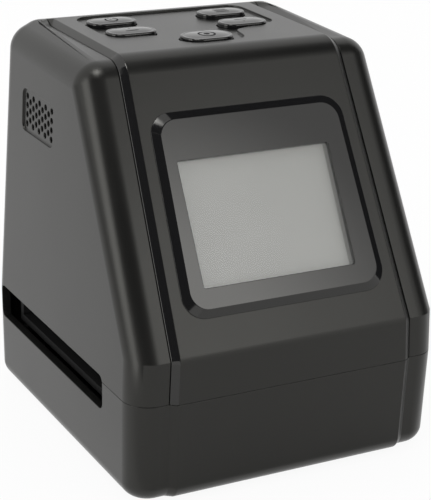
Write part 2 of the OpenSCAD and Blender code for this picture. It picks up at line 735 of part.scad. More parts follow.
// A key cap: crowned top, bevelled rim, flange under the cover and a short stem
module key_cap(at, l, b) translate([at[0], at[1], 0]) {
    crown = z_top + key_crown;
    rim = crown - 0.4;
    bevel = 0.9;
    hull() {
        translate([0, 0, rim - skin]) linear_extrude(skin) stadium(l, b, $fn = hull_fn);
        translate([0, 0, crown - 0.25]) linear_extrude(skin) stadium(l - bevel, b - bevel, $fn = hull_fn);
        translate([0, 0, crown - skin]) linear_extrude(skin)
            stadium(l - 5 * bevel, b - 5 * bevel, $fn = hull_fn);
    }
    translate([0, 0, flange_low]) linear_extrude(rim - skin - flange_low) stadium(l, b);
    translate([0, 0, flange_low]) linear_extrude(flange_t) stadium(l + 2 * flange_lap, b + 2 * flange_lap);
    translate([0, 0, stem_low]) cylinder(r = plunger_r + 0.4, h = key_stem + flange_t / 2);
}
module plunger(at) color([0.1, 0.1, 0.1]) rod(at, plunger_r, plunger_low, stem_low);

module power_button() color(gloss_black) key_cap(side_keys[0], key_l, key_b);
module mode_button() color(gloss_black) key_cap(side_keys[1], key_l, key_b);
module left_button() color(gloss_black) key_cap(side_keys[2], key_l, key_b);
module right_button() color(gloss_black) key_cap(side_keys[3], key_l, key_b);
module ok_button() color(gloss_black) key_cap(ok_at, ok_l, ok_b);
module power_plunger() plunger(side_keys[0]);
module mode_plunger() plunger(side_keys[1]);
module left_plunger() plunger(side_keys[2]);
module right_plunger() plunger(side_keys[3]);
module ok_plunger() plunger(ok_at);

module key_board() color(board_green) difference() {
    translate([-key_board_w / 2, key_board_front, key_board_top - board_t])
        cube([key_board_w, key_board_rear - key_board_front, board_t]);
    for (p = key_board_screw_at)
        rod(p, small_r + bore_gap, key_board_top - board_t - past, key_board_top + past);
}

module key_switches() color(steel) for (k = concat(side_keys, [ok_at])) difference() {
    translate([k[0] - switch_w / 2, k[1] - switch_w / 2, key_board_top]) cube([switch_w, switch_w, switch_h]);
    rod(k, plunger_r + bore_gap, key_board_top + 0.4, key_board_top + switch_h + past);
}

// ---------------------------------------------------------------- main board

module main_board() color(board_green) difference() {
    translate([-main_w / 2, main_front, z_main]) cube([main_w, main_rear - main_front, board_t]);
    for (p = main_screw_at) rod(p, small_r + bore_gap, z_main - past, z_main + board_t + past);
}

module main_board_chips() color([0.07, 0.07, 0.07]) {
    z0 = z_main + board_t;
    beside_card = card_x + card_w / 2 + 3;
    translate([beside_card, main_front + 3, z0]) cube([12, 12, 1.4]);
    translate([beside_card, main_front + 16, z0]) cube([5, 3.5, 1.6]);
    translate([beside_card + 14.5, main_front + 4, z0]) cube([8, 11, 1.1]);
    translate([main_w / 2 - 5, main_rear - 13, z0]) cylinder(d = 6.3, h = 5);
    translate([card_x - card_w / 2 - 6, main_front + 14, z0]) cube([4, 7, 1]);
}

module sd_card_socket() color(steel) {
    z0 = z_main + board_t;
    y0 = main_rear - card_d + 0.4;
    difference() {
        translate([card_x - card_w / 2, y0, z0]) cube([card_w, card_d, card_t]);
        translate([card_x - card_w / 2 + 1.6, y0 + 2.5, z0 + 0.3]) cube([card_w - 3.2, card_d, card_t - 0.6]);
    }
}

module usb_socket() color(steel) {
    z0 = z_main + board_t;
    y1 = back_at(z0) - 1.6;
    difference() {
        translate([usb_x - usb_w / 2, y1 - usb_d, z0]) cube([usb_w, usb_d, usb_t]);
        translate([usb_x - usb_w / 2 + 0.5, y1 - usb_d + 1.5, z0 + 0.5]) cube([usb_w - 1, usb_d, usb_t - 1]);
    }
    translate([usb_x - usb_w / 2 + 2, y1 - usb_d + 1.5, z0 + usb_t / 2 - 0.4])
        cube([usb_w - 4, usb_d - 3, 0.8]);
}

// ---------------------------------------------------------------- film path

module film_guide() color([0.09, 0.09, 0.09]) difference() {
    union() {
        translate([-bed_half, bed_front, z_guide]) cube([2 * bed_half, bed_rear - bed_front, plate_t]);
        translate([-bed_half, bed_front, z_bed + 0.2]) cube([2 * bed_half, rail_front_t, z_guide - z_bed]);
        translate([-bed_half, channel_rear, z_bed + 0.2]) cube([2 * bed_half, rail_rear_t, z_guide - z_bed]);
    }
    translate([-gate_w / 2 - 1, optic_y - gate_d / 2 - 1, z_guide - past])
        cube([gate_w + 2, gate_d + 2, plate_t + 2 * past]);
    for (y = guide_shelf_at, s = [-1, 1])
        rod([s * (guide_shelf_in + 1.9), y], small_r + bore_gap, z_guide + 0.6, z_guide_top + past);
    for (p = shroud_screw_at) rod(p, small_r + bore_gap, z_guide + 0.6, z_guide_top + past);
}

module film_bed() color([0.1, 0.1, 0.1]) difference() {
    translate([-bed_half, bed_front, z_bed - plate_t]) cube([2 * bed_half, bed_rear - bed_front, plate_t]);
    translate([-gate_w / 2, optic_y - gate_d / 2, z_bed - plate_t - past])
        cube([gate_w, gate_d, plate_t + 2 * past]);
    for (p = bed_post_at) {
        rod(p, small_r + bore_gap, z_bed - plate_t - past, z_bed);
        rod(p, 2.1, z_bed - 1.2, z_bed + past);
    }
}

module light_box() color([0.9, 0.9, 0.88])
translate([0, optic_y, z_bed - plate_t - light_box_h]) difference() {
    linear_extrude(light_box_h) square([light_box_w, light_box_d], center = true);
    translate([0, 0, -past]) linear_extrude(far)
        square([light_box_w - 4 * light_box_wall, light_box_d - 4 * light_box_wall], center = true);
    translate([0, 0, light_box_h - diffuser_t - touch]) linear_extrude(far)
        square([light_box_w - 2 * light_box_wall, light_box_d - 2 * light_box_wall], center = true);
}

module diffuser() color([0.95, 0.95, 0.93]) translate([0, optic_y, z_bed - plate_t - diffuser_t - touch])
    linear_extrude(diffuser_t)
        square([for (a = [light_box_w, light_box_d]) a - 2 * light_box_wall - 2 * fit], center = true);

module led_board() color([0.88, 0.88, 0.85])
    translate([-light_box_w / 2 - 1, optic_y - light_box_d / 2 - 4, z_led_board])
        cube([light_box_w + 2, light_box_d + 5, led_board_t]);

module backlight_leds() color([0.95, 0.9, 0.6]) for (x = [-11, 0, 11], y = [-6, 6])
    translate([x, optic_y + y, z_led_board + led_board_t]) {
        translate([-1.75, -1.4, 0]) cube([3.5, 2.8, 0.8]);
        translate([0, 0, 0.8]) cylinder(r1 = 1.2, r2 = 0.8, h = 0.4, $fn = 24);
    }

// ---------------------------------------------------------------- camera

shroud_screw_at = [for (x = [-1, 1], y = [-1, 1])
    [x * (shroud_w / 2 + shroud_flange / 2), optic_y + y * (shroud_d / 2 - 3)]];

module light_shroud() color([0.08, 0.08, 0.08]) difference() {
    union() {
        translate([-shroud_w / 2 - shroud_flange, optic_y - shroud_d / 2, z_guide_top])
            cube([shroud_w + 2 * shroud_flange, shroud_d, 1.8]);
        shroud_taper(0, z_guide_top, z_shroud_top);
    }
    shroud_taper(shroud_wall, z_guide_top - 0.5, z_shroud_top - 2);
    rod([0, optic_y], barrel_r + fit, z_shroud_top - 4, z_shroud_top + past);
    for (p = shroud_screw_at) rod(p, small_r + bore_gap, z_guide_top - past, z_guide_top + 3);
}
module shroud_taper(inset, z0, z1) hull() {
    translate([0, optic_y, z0]) linear_extrude(skin)
        square([shroud_w - 2 * inset, shroud_d - 2 * inset], center = true);
    translate([0, optic_y, z1 - skin]) linear_extrude(skin)
        square([2 * barrel_r + 8 - 2 * inset, 2 * barrel_r + 8 - 2 * inset], center = true);
}

module lens_barrel() color([0.06, 0.06, 0.06]) difference() {
    union() {
        rod([0, optic_y], barrel_r, z_shroud_top - 5, z_shroud_top + barrel_flange_t + 4);
        rod([0, optic_y], barrel_r + 2, z_shroud_top, z_barrel_top);
    }
    rod([0, optic_y], glass_r + touch, z_shroud_top - 5 - past, z_shroud_top - 1.2);
    rod([0, optic_y], glass_r - 1, z_shroud_top - 5, z_shroud_top + 8);
    rod([0, optic_y], glass_r + touch, z_shroud_top + 2.6, z_shroud_top + 8);
}

module lens_elements() color([0.6, 0.75, 0.85, 0.4]) {
    rod([0, optic_y], glass_r, z_shroud_top - 4.4, z_shroud_top - 1.2);
    rod([0, optic_y], glass_r, z_shroud_top + 2.6, z_shroud_top + 5);
}

module sensor_holder() color([0.08, 0.08, 0.08]) difference() {
    translate([-11, optic_y - 11, z_barrel_top]) cube([22, 22, holder_h]);
    rod([0, optic_y], barrel_r + fit, z_barrel_top - past, z_sensor_board + past);
    for (p = camera_screw_at) rod(p, small_r + bore_gap, z_barrel_top + 2, z_sensor_board + past);
}
camera_screw_at = [for (x = [-9, 9], y = [-9, 9]) [x, optic_y + y]];

module sensor_board() color(board_green) difference() {
    translate([-12, optic_y - 12, z_sensor_board]) cube([24, 24, led_board_t]);
    for (p = camera_screw_at)
        rod(p, small_r + bore_gap, z_sensor_board - past, z_sensor_board + led_board_t + past);
}

module image_sensor() color([0.15, 0.15, 0.2])
    translate([-3.6, optic_y - 3, z_sensor_board - 1.2]) cube([7.2, 6, 1.2]);

// ---------------------------------------------------------------- cables

// A flat cable w wide that runs through the points, drawn as y against z
module ribbon(x, w, pts) color(ribbon_white) translate([x, 0, 0]) across(w) {
    t = 0.3;
    n = len(pts);
    polygon(concat([for (i = [0:n - 1]) pts[i]], [for (i = [n - 1:-1:0]) pts[i] + [0.1, t]]));
}

module lcd_ribbon() {
    v = aperture_v + display_h / 2 - 8.5;
    ribbon(0, 14, [
        [slope_y(v, display_low - 0.3), slope_z(v, display_low - 0.3)],
        [slope_y(v + 0.5, display_low - 3.5), slope_z(v + 0.5, display_low - 3.5)],
        [main_front - 6, z_main + board_t + 2],
        [main_front + 0.5, z_main + board_t],
        [main_front + 1.6, z_main + board_t]]);
}

module camera_ribbon() color(ribbon_white) translate([-5, optic_y + 9.9, z_sensor_board + led_board_t])
    cube([10, 0.4, z_main - z_sensor_board - led_board_t]);

module keys_ribbon() color(ribbon_white) {
    h = key_board_top - board_t - z_main - board_t;
    reach = 4;   // from the board's edge out to the upright run
    translate([-key_board_w / 2 - reach, key_front_y + 3, z_main + board_t]) {
        cube([0.4, 7, h - 0.5]);
        translate([0, 0, h - 0.5]) cube([reach + 3, 7, 0.5]);
    }
}

// A round lead from one point to the next
module lead(a, b, r) hull() for (p = [a, b]) translate(p) sphere(r, $fn = 12);
module light_cable() color([0.6, 0.1, 0.08]) {
    r = 0.9;
    x = 5 - light_box_w / 2;
    y = bed_front - 3.5;
    z0 = z_led_board + led_board_t + r;
    pts = [[x, optic_y - light_box_d / 2 - 2, z0], [x, y, z0], [x, y, z_part + 7],
        [x, main_front - 6, z_main + 8], [x, main_front + 3, z_main + board_t + r]];
    for (i = [1:len(pts) - 1]) lead(pts[i - 1], pts[i], r);
}

// ---------------------------------------------------------------- feet and screws

module rubber_feet() color([0.05, 0.05, 0.05]) for (x = [-foot_x, foot_x], y = [-foot_y, foot_y])
    rod([x, y], foot_r, 0, z_bot + foot_sink);

// A pan head screw; up is 1 when its point is above its head
module screw(at, z, r, len, head, thick, up) translate([at[0], at[1], z]) rotate([up > 0 ? 0 : 180, 0, 0]) {
    difference() {
        translate([0, 0, -thick]) cylinder(r = head, h = thick);
        translate([0, 0, -thick - past]) linear_extrude(past + thick / 2)
            for (a = [0, 90]) rotate(a) square([head * 1.1, head * 0.28], center = true);
    }
    cylinder(r = r, h = len);
}

module housing_screws() color(steel)
    for (p = boss_at) screw(p, head_z, screw_r, screw_len, head_r, head_t, 1);
module cover_screws() color(steel) for (p = cover_boss_at)
    screw(p, tab_top - tab_t, small_r, tab_t + 4, 1.9, 1.2, 1);
module key_board_screws() color(steel) for (p = key_board_screw_at)
    screw(p, key_board_top - board_t, small_r, board_t + 3.4, 1.8, 1.1, 1);
module lcd_frame_screws() color(steel) on_slope()
    for (u = [-frame_screw_u, frame_screw_u], v = [-frame_screw_v, frame_screw_v])
        screw([aperture_x + u, aperture_v + v], display_low - frame_t, small_r, frame_t + 2.6, 1.8, 1.1, 1);
module main_board_screws() color(steel) for (p = main_screw_at)
    screw(p, z_main + board_t, small_r, board_t + 2, 1.8, 1.1, -1);
module guide_screws() color(steel) for (y = guide_shelf_at, s = [-1, 1])
    screw([s * (guide_shelf_in + 1.9), y], z_guide_top + shelf_t, small_r, shelf_t + 1.2, 1.7, 1.1, -1);
module shroud_screws() color(steel) for (p = shroud_screw_at)
    screw(p, z_guide_top + 1.8, small_r, 1.8 + 1.2, 1.7, 1.1, -1);
module camera_screws() color(steel) for (p = camera_screw_at)
    screw(p, z_sensor_board + led_board_t, small_r, led_board_t + 4, 1.7, 1, -1);
module bed_screws() color(steel) for (p = bed_post_at)
    screw(p, z_bed - 1.2, small_r, 6, 1.9, 1, -1);

upper_housing();
front_cover();
base_housing();
screen_bezel();
screen_lens();
lcd_module();
lcd_frame();
power_button();
mode_button();
left_button();
right_button();
ok_button();
power_plunger();
mode_plunger();
left_plunger();
right_plunger();
ok_plunger();
key_board();
key_switches();
main_board();
main_board_chips();
sd_card_socket();
usb_socket();
film_guide();
film_bed();
diffuser();
light_box();
led_board();
backlight_leds();
light_shroud();
lens_barrel();
lens_elements();
sensor_holder();
sensor_board();
image_sensor();
lcd_ribbon();
camera_ribbon();
keys_ribbon();
light_cable();
rubber_feet();
housing_screws();
cover_screws();
key_board_screws();
lcd_frame_screws();
main_board_screws();
bed_screws();
guide_screws();
shroud_screws();
camera_screws();
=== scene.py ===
"""Dresses a packed film scanner: fine shells, keys, display, finishes, a studio stage and a camera."""

import math

import bmesh
import bpy
from bpy.props import FloatProperty, FloatVectorProperty, IntProperty, PointerProperty
from bpy.types import NodeSocket, Operator, Panel, PropertyGroup
from mathutils import Matrix, Vector


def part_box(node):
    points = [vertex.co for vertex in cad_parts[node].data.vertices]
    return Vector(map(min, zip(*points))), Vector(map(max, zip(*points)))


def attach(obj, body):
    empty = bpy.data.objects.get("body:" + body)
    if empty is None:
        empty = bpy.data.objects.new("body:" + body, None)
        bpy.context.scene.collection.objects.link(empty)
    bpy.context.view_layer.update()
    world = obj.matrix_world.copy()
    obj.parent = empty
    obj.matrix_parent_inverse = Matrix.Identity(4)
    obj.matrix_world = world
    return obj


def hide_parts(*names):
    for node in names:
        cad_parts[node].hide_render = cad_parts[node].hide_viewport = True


bl_info = {
    "name": "Film Scanner",
    "version": (1, 0, 0),
    "blender": (4, 5, 0),
    "location": "3D View > Sidebar > Scanner",
    "description": "Builds the visible shells, keys and finishes of a desktop film scanner",
    "category": "Object",
}

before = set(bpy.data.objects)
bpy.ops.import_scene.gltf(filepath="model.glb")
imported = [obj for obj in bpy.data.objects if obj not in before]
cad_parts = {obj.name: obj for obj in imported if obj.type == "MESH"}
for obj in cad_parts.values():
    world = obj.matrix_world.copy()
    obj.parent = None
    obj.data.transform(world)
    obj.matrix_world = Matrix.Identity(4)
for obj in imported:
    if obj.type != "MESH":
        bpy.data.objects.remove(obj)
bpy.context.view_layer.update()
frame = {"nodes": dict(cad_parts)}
BODY = "scanner"
KEYS = ("power", "mode", "left", "right", "ok")
MM = 0.001
FAR = 0.2                # longer than the whole scanner
PAST = 1 * MM            # how far a cut runs past the face that it opens
SIDES = (-1, 1)          # left and right, or front and rear
RAMP_LEANS = (0.4, 0.8)  # how far a ramp faces sideways, between the band's face and the seam
RIM_LAP = 5.6 * MM       # how much larger than its window the bezel's inner rim is
RIM_ROOM = 0.3 * MM      # how much larger than that rim the opening in the cover is
PANE_LAP = 3.3 * MM      # how much larger than the window the pane's pocket is
SLOPE_CUT = 10 * MM      # how far a cut through the slope runs to each side of its face
FOOT_RADIUS = 5 * MM
VENT_COLUMNS = 4         # columns of vent holes to each side of the middle one
VENT_ROWS = 4            # holes in the middle column and in every second one from it
CORNER_STEPS = 8         # segments in a rounded corner of an outline


# ---------------------------------------------------------------- settings

def length(name, description, millimetres):
    return FloatProperty(name=name, description=description, default=millimetres * MM,
                         subtype="DISTANCE", unit="LENGTH")


def angle(name, description, degrees):
    return FloatProperty(name=name, description=description, default=math.radians(degrees), subtype="ANGLE")


def colour(name, description, default):
    return FloatVectorProperty(name=name, description=description, default=default, subtype="COLOR",
                               size=3, min=0, max=1)


def share(name, description, default, high=1):
    return FloatProperty(name=name, description=description, default=default, min=0, max=high)


class ScannerCasing(PropertyGroup):
    """Sizes of the two casings and of the cover between them"""
    relief: length("Band relief", "How far the centre band stands proud of the cheeks", 1.3)
    ramp: length("Ramp width", "Width of the ramp along each edge of the band", 1.8)
    band_width: length("Band width", "Width of the band on the top", 60)
    wall: length("Wall", "Wall thickness of both casings", 2.4)
    cover_wall: length("Cover wall", "Wall thickness of the front cover", 2.5)
    floor: length("Floor", "Floor thickness of the lower casing", 2.2)
    seam: length("Seam", "Gap between the cover and the casing", 0.15)
    ledge: length("Ledge", "Width of the ledge under the cover's edge", 2.2)
    seam_drop: length("Rear seam", "Depth of the cover's rear edge below the top", 14)
    knee_height: length("Knee height", "Height of the knee above the desk", 38.9)
    knee_radius: length("Knee radius", "Radius of the knee on the band", 5)
    slope_run: length("Slope run", "How far the slope leans back up to the top", 38.8)
    corner_radius: length("Corner radius", "Radius of the upright corners", 7)
    top_radius: length("Top radius", "Radius around the top of the cheeks", 7)
    rear_radius: length("Rear radius", "Radius along the rear edge of the top", 6)
    rear_rise: length("Rear rise", "How far the cheeks rise towards the rear edge", 0.6)
    run_out: length("Run-out", "Length over which the band's ramps die away at the rear", 3)
    groove: length("Groove width", "Width of the hollow beside the band at its rear end", 6.2)
    foot_radius: length("Bottom radius", "Radius around the bottom edge", 4.5)
    side_draft: angle("Side draft", "Lean of the upper sides", 1.7)
    back_draft: angle("Back draft", "Lean of the back", 3)
    front_draft: angle("Front draft", "Lean of the wall under the knee", 1.9)
    base_draft: angle("Base draft", "Lean of the lower walls", 0.8)
    band_draft: angle("Band draft", "How much each band edge spreads downwards", 2.2)
    edge: length("Edge radius", "Radius broken on the moulded edges", 0.18)
    steps: IntProperty(name="Steps", description="Segments in a full turn of a rounded edge",
                       default=72, min=24, max=160)


class ScannerScreen(PropertyGroup):
    """Sizes of the bezel and its window"""
    window_width: length("Window width", "Width of the screen opening", 43.4)
    window_height: length("Window height", "Height of the screen opening along the slope", 32.2)
    window_place: length("Window place", "Middle of the opening, up the slope from the knee", 32.6)
    window_side: length("Window side place", "Middle of the opening, sideways from the centre line", -1)
    picture_width: length("Picture width", "Width of the display's picture", 43)
    picture_height: length("Picture height", "Height of the display's picture", 32.4)
    low_width: length("Lower width", "Width of the bezel's foot along its lower edge", 58.2)
    top_width: length("Upper width", "Width of the bezel's foot along its upper edge", 55)
    height: length("Bezel height", "Height of the bezel's foot along the slope", 52.2)
    place: length("Bezel place", "Lower edge of the bezel, up the slope from the knee", 9.2)
    radius: length("Bezel radius", "Corner radius of the bezel's foot", 6)
    depth: length("Display depth", "Depth of the display's picture below the bezel's face", 2.7)
    proud: length("Bezel rise", "How far the bezel stands proud of the slope", 1.1)
    bevel: length("Bezel bevel", "Width of the bezel's bevelled rim", 2.1)
    edge: length("Bezel edge", "Radius broken on the bezel's edges", 0.14)


class ScannerKeys(PropertyGroup):
    """Sizes of the key caps and the recess around them"""
    recess: length("Recess depth", "Depth of the key recess in the top", 0.6)
    gap: length("Key gap", "Running gap around a key", 0.25)
    rim_drop: length("Rim drop", "Depth of a cap's rim below its crown", 0.6)
    rim_width: length("Rim width", "Width of the rounded rim around a cap", 0.85)
    print_rise: length("Print height", "Thickness of the printed signs", 0.02)


class ScannerOpenings(PropertyGroup):
    """Sizes of the film slot and the vents"""
    slot_front: length("Slot front", "Front end of the film slot", -27.7)
    slot_rear: length("Slot rear", "Rear end of the film slot", 41.3)
    slot_low: length("Slot bottom", "Bottom of the slot above the desk", 19.7)
    slot_high: length("Slot top", "Top of the slot above the desk", 28.9)
    slot_radius: length("Slot radius", "Corner radius of the slot", 2)
    vent_y: length("Vent place", "Middle of the grille, front to back", 17.7)
    vent_z: length("Vent level", "Middle of the grille above the desk", 83.6)
    vent_width: length("Vent width", "Width of the recess around the holes", 20.7)
    vent_height: length("Vent recess height", "Height of that recess", 11.4)
    vent_depth: length("Vent depth", "Depth of that recess", 0.5)
    vent_hole: length("Vent hole", "Diameter of a vent hole", 1.6)
    vent_pitch_y: length("Column pitch", "Distance between columns of holes", 2.05)
    vent_pitch_z: length("Row pitch", "Distance between holes in a column", 2.5)


class ScannerFinish(PropertyGroup):
    """Colours and gloss of the visible pieces"""
    shell: colour("Shell", "Satin plastic of the casing", (0.0075, 0.0074, 0.0071))
    shell_roughness: share("Shell roughness", "Gloss of the casing", 0.3)
    gloss: colour("Gloss black", "Polished plastic of the keys and the bezel", (0.008, 0.008, 0.0085))
    gloss_roughness: share("Gloss roughness", "Gloss of the keys and the bezel", 0.09)
    picture: colour("Picture", "Picture of the display", (0.237, 0.238, 0.226))
    border: colour("Picture border", "Frame around the picture", (0.125, 0.126, 0.12))
    # Painted light: the display picture is made to glow so that it makes up for the shade of the pocket it
    # sits in.
    painted_glow: share("Backlight", "How strongly the display glows by itself", 1.0)
    signs: colour("Signs", "Print on the keys", (0.03, 0.03, 0.031))


class ScannerStage(PropertyGroup):
    """Camera and studio light"""
    target: FloatVectorProperty(name="Target", description="Point that the camera looks at", subtype="XYZ",
                                unit="LENGTH", default=(-0.27 * MM, -3.47 * MM, 47.9 * MM))
    distance: length("Distance", "Camera to target", 454.2)
    azimuth: angle("Azimuth", "Camera round from the front, to the left", -28.447)
    elevation: angle("Elevation", "Camera above the level of the target", 20.453)
    roll: angle("Roll", "Turn of the camera about its own axis", 1.851)
    lens: FloatProperty(name="Lens", description="Focal length in millimetres", default=121.86, min=1)
    sky: share("Sky", "Level of the even light from all round", 1.0, 4)


GROUPS = {"scanner_casing": ScannerCasing, "scanner_screen": ScannerScreen, "scanner_keys": ScannerKeys,
          "scanner_openings": ScannerOpenings, "scanner_finish": ScannerFinish, "scanner_stage": ScannerStage}


# ---------------------------------------------------------------- outlines

def arc(centre, radius, start, end, steps):
    """Points of an arc about a 2D centre, both ends included."""
    angles = [start + (end - start) * i / steps for i in range(steps + 1)]
    return [centre + radius * Vector((math.cos(a), math.sin(a))) for a in angles]


def round_corner(before, corner, after, radius, steps):
    """Points that round one corner of a 2D outline."""
    to_before = (before - corner).normalized()
    to_after = (after - corner).normalized()
    half = to_before.angle(to_after) / 2
    centre = corner + (to_before + to_after).normalized() * radius / math.sin(half)
    first = corner + to_before * radius / math.tan(half) - centre
    last = corner + to_after * radius / math.tan(half) - centre
    start = math.atan2(first.y, first.x)
    sweep = (math.atan2(last.y, last.x) - start + math.pi) % math.tau - math.pi
    return arc(centre, radius, start, start + sweep, steps)


def round_outline(points, radii, steps=CORNER_STEPS):
    """A closed 2D outline with every corner rounded, by one radius or by one for each."""
    points = [Vector(p) for p in points]
    radii = [radii] * len(points) if isinstance(radii, float) else radii
    rounded = []
    for i, (corner, radius) in enumerate(zip(points, radii)):
        rounded += round_corner(points[i - 1], corner, points[(i + 1) % len(points)], radius, steps)
    return rounded


def rectangle(left, right, low, high):
    return [(left, low), (right, low), (right, high), (left, high)]


def oblong(width, height):
    """A rectangle about the origin."""
    return rectangle(-width / 2, width / 2, -height / 2, height / 2)


def stadium(length_, breadth, inset=0.0, steps=20):
    """Outline of a key: a straight-sided slot form with round ends, anticlockwise."""
    radius = breadth / 2 - inset
    reach = (length_ - breadth) / 2
    return (arc(Vector((reach, 0)), radius, -math.pi / 2, math.pi / 2, steps)
            + arc(Vector((-reach, 0)), radius, math.pi / 2, 1.5 * math.pi, steps))


def ring(centre, radius, steps):
    """Points of a level circle."""
    turn = math.tau / steps
    return [Vector(centre) + radius * Vector((math.cos(i * turn), math.sin(i * turn), 0))
            for i in range(steps)]


def circle(x, y, radius, steps):
    """Outline of a circle in 2D."""
    return [(x + p.x, y + p.y) for p in ring((0, 0, 0), radius, steps)]


def ball(centre, radius, steps):
    """Points of the upper three quarters of a ball, in level rings."""
    x, y, z = centre
    points = [Vector((x, y, z + radius))]
    for i in range(1, steps * 3 // 8):
        polar = math.tau * i / steps
        points += ring((x, y, z + radius * math.cos(polar)), radius * math.sin(polar), steps)
    return points


class CasingForm:
    """Where the casing's front, slope, top, back and sides lie, from its settings and the frame."""

    def __init__(self, casing):
        low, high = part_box("base_housing")
        self.casing = casing
        self.front, self.back = low.y, high.y
        self.half_width = high.x
        self.bottom, self.parting = low.z, high.z
        self.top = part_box("front_cover")[1].z
        self.seam_z = self.top - casing.seam_drop
        self.base_lean = (self.parting - self.bottom) * math.tan(casing.base_draft)
        self.knee_y = self.front_at(casing.knee_height)
        self.slope = math.atan2(self.top - casing.knee_height, casing.slope_run)
        self.band_radius = casing.top_radius + casing.relief
        self.arc_z = self.top - self.band_radius
        rise = self.arc_z - casing.knee_height
        self.arc_front = self.knee_y + rise / math.tan(self.slope) + self.band_radius / math.sin(self.slope)
        self.arc_back_z = self.top - casing.rear_radius
        self.arc_back = self.back_at(self.arc_back_z) - casing.rear_radius / math.cos(casing.back_draft)
        self.cheek_back = self.back_at(self.arc_z) - casing.top_radius / math.cos(casing.back_draft)
        self.rear_wall = self.arc_back - casing.wall

    def front_at(self, z):
        return self.front + (z - self.parting) * math.tan(self.casing.front_draft)

    def back_at(self, z):
        return self.back - (z - self.parting) * math.tan(self.casing.back_draft)

    def side_at(self, z):
        draft = self.casing.base_draft if z < self.parting else self.casing.side_draft
        return self.half_width - abs(z - self.parting) * math.tan(draft)

    def knee_z(self, depth):
        return self.casing.knee_height - depth * (1 / math.sin(self.slope) - 1) * math.tan(self.slope)

    def band_half(self, z):
        return self.casing.band_width / 2 + (self.top - z) * math.tan(self.casing.band_draft)

    def on_slope(self, u, v, n):
        """A point u across, v up the slope from the knee and n out of it."""
        cos, sin = math.cos(self.slope), math.sin(self.slope)
        return Vector((u, self.knee_y + v * cos - n * sin, self.casing.knee_height + v * sin + n * cos))

    def side_view(self, depth, drop=0.0):
        """Outline of the band from the side, as (y, z), depth inside its face."""
        quarter = self.casing.steps // 4
        foot = Vector((self.front + depth, self.parting - drop))
        knee = Vector((self.knee_y + depth, self.knee_z(depth)))
        front = arc(Vector((self.arc_front, self.arc_z)), self.band_radius - depth,
                    self.slope + math.pi / 2, math.pi / 2, quarter)
        back = arc(Vector((self.arc_back, self.arc_back_z)), self.casing.rear_radius - depth,
                   math.pi / 2, self.casing.back_draft, quarter)
        bend = round_corner(foot, knee, front[0], self.casing.knee_radius - min(depth, 2 * MM), quarter // 3)
        return [foot] + bend + front + back + [Vector((self.back - depth, self.parting - drop))]

    def upper_points(self, depth, drop=0.0):
        """Points whose hull is the casing above the parting line, depth inside the band's face."""
        c = self.casing
        inset = depth - c.relief
        radius = c.corner_radius - inset
        points = []
        for s in SIDES:
            x = s * (self.side_at(self.parting) - c.corner_radius)
            for y in (self.front + c.relief + c.corner_radius, self.back - c.corner_radius):
                points += ring((x, y, self.parting - drop), radius, c.steps)
            x = s * (self.side_at(c.knee_height) - c.corner_radius)
            points += ring((x, self.knee_y + c.relief + c.corner_radius, self.knee_z(depth)), radius, c.steps)
            x = s * (self.side_at(self.arc_z) - c.top_radius)
            for y in (self.arc_front, self.cheek_back):
                points += ball((x, y, self.arc_z), c.top_radius - inset, c.steps)
        return points

    def outside_points(self):
        """Points whose hull is the upper casing's outside, whose cheeks rise towards the rear edge."""
        c = self.casing
        points = self.upper_points(c.relief)
        for s in SIDES:
            x = s * (self.side_at(self.arc_z) - c.top_radius)
            points += ball((x, self.cheek_back, self.arc_z + c.rear_rise), c.top_radius, c.steps)
            x = s * (c.band_width / 2 + 2 * c.ramp)
            points += ball((x, self.arc_back, self.arc_back_z), c.rear_radius, c.steps)
        return points

    def band_points(self):
        """Points whose hull is the raised band above the parting line."""
        return [Vector((s * (self.band_half(z) + extra), y, z))
                for depth, extra in ((0, 0), (self.casing.relief, self.casing.ramp))
                for y, z in self.side_view(depth) for s in SIDES]

    def rear_points(self):
        """Points whose hull is the band's full-width end behind the top."""
        outline = [(y, z) for y, z in self.side_view(0) if y > self.arc_back + 0.01 * MM]
        outline += [(self.arc_back, self.parting), (self.arc_back, self.top)]
        outline.append((self.arc_back - self.casing.run_out, self.top - self.casing.relief))
        return [Vector((s * (self.band_half(z) + self.casing.ramp), y, z)) for y, z in outline for s in SIDES]

    def lower_points(self, inset, floor):
        """Points whose hull is the casing below the parting line, or its inside if there is an inset."""
        c = self.casing
        radius = c.corner_radius - inset
        edge = max(c.foot_radius - inset, 1 * MM)
        quarter = c.steps // 4
        rim = self.parting + (PAST if inset else 0)
        points = []
        for s in SIDES:
            for e, y in ((-1, self.front + c.relief + c.corner_radius), (1, self.back - c.corner_radius)):
                points += ring((s * (self.side_at(self.parting) - c.corner_radius), y, rim), radius, c.steps)
                x = s * (self.side_at(self.bottom) - c.corner_radius)
                for i in range(quarter + 1):
                    turn = math.pi / 2 * i / quarter
                    centre = (x, y - e * self.base_lean, floor + edge * (1 - math.cos(turn)))
                    points += ring(centre, radius - edge * (1 - math.sin(turn)), c.steps)
        return points

    def lower_band_points(self):
        """Points whose hull is the band on the front of the lower casing."""
        c = self.casing
        width = self.band_half(self.parting)
        points = []
        for depth, extra in ((0, 0), (c.relief, c.ramp)):
            reach = self.front + depth
            centre = Vector((reach + self.base_lean + c.foot_radius, self.bottom + c.foot_radius))
            outline = arc(centre, c.foot_radius, -math.pi / 2, -math.pi, c.steps // 4)
            outline += [(reach, self.parting), (0, self.parting), (0, self.bottom)]
            for y, z in outline:
                lean = self.base_lean * (self.parting - z) / (self.parting - self.bottom)
                points += [Vector((s * (width + extra - lean), y, z)) for s in SIDES]
        return points


# ---------------------------------------------------------------- solids

def to_object(maker, name):
    """Puts a bmesh into a new object."""
    bmesh.ops.recalc_face_normals(maker, faces=maker.faces)
    mesh = bpy.data.meshes.new(name)
    maker.to_mesh(mesh)
    maker.free()
    piece = bpy.data.objects.new(name, mesh)
    bpy.context.scene.collection.objects.link(piece)
    return piece


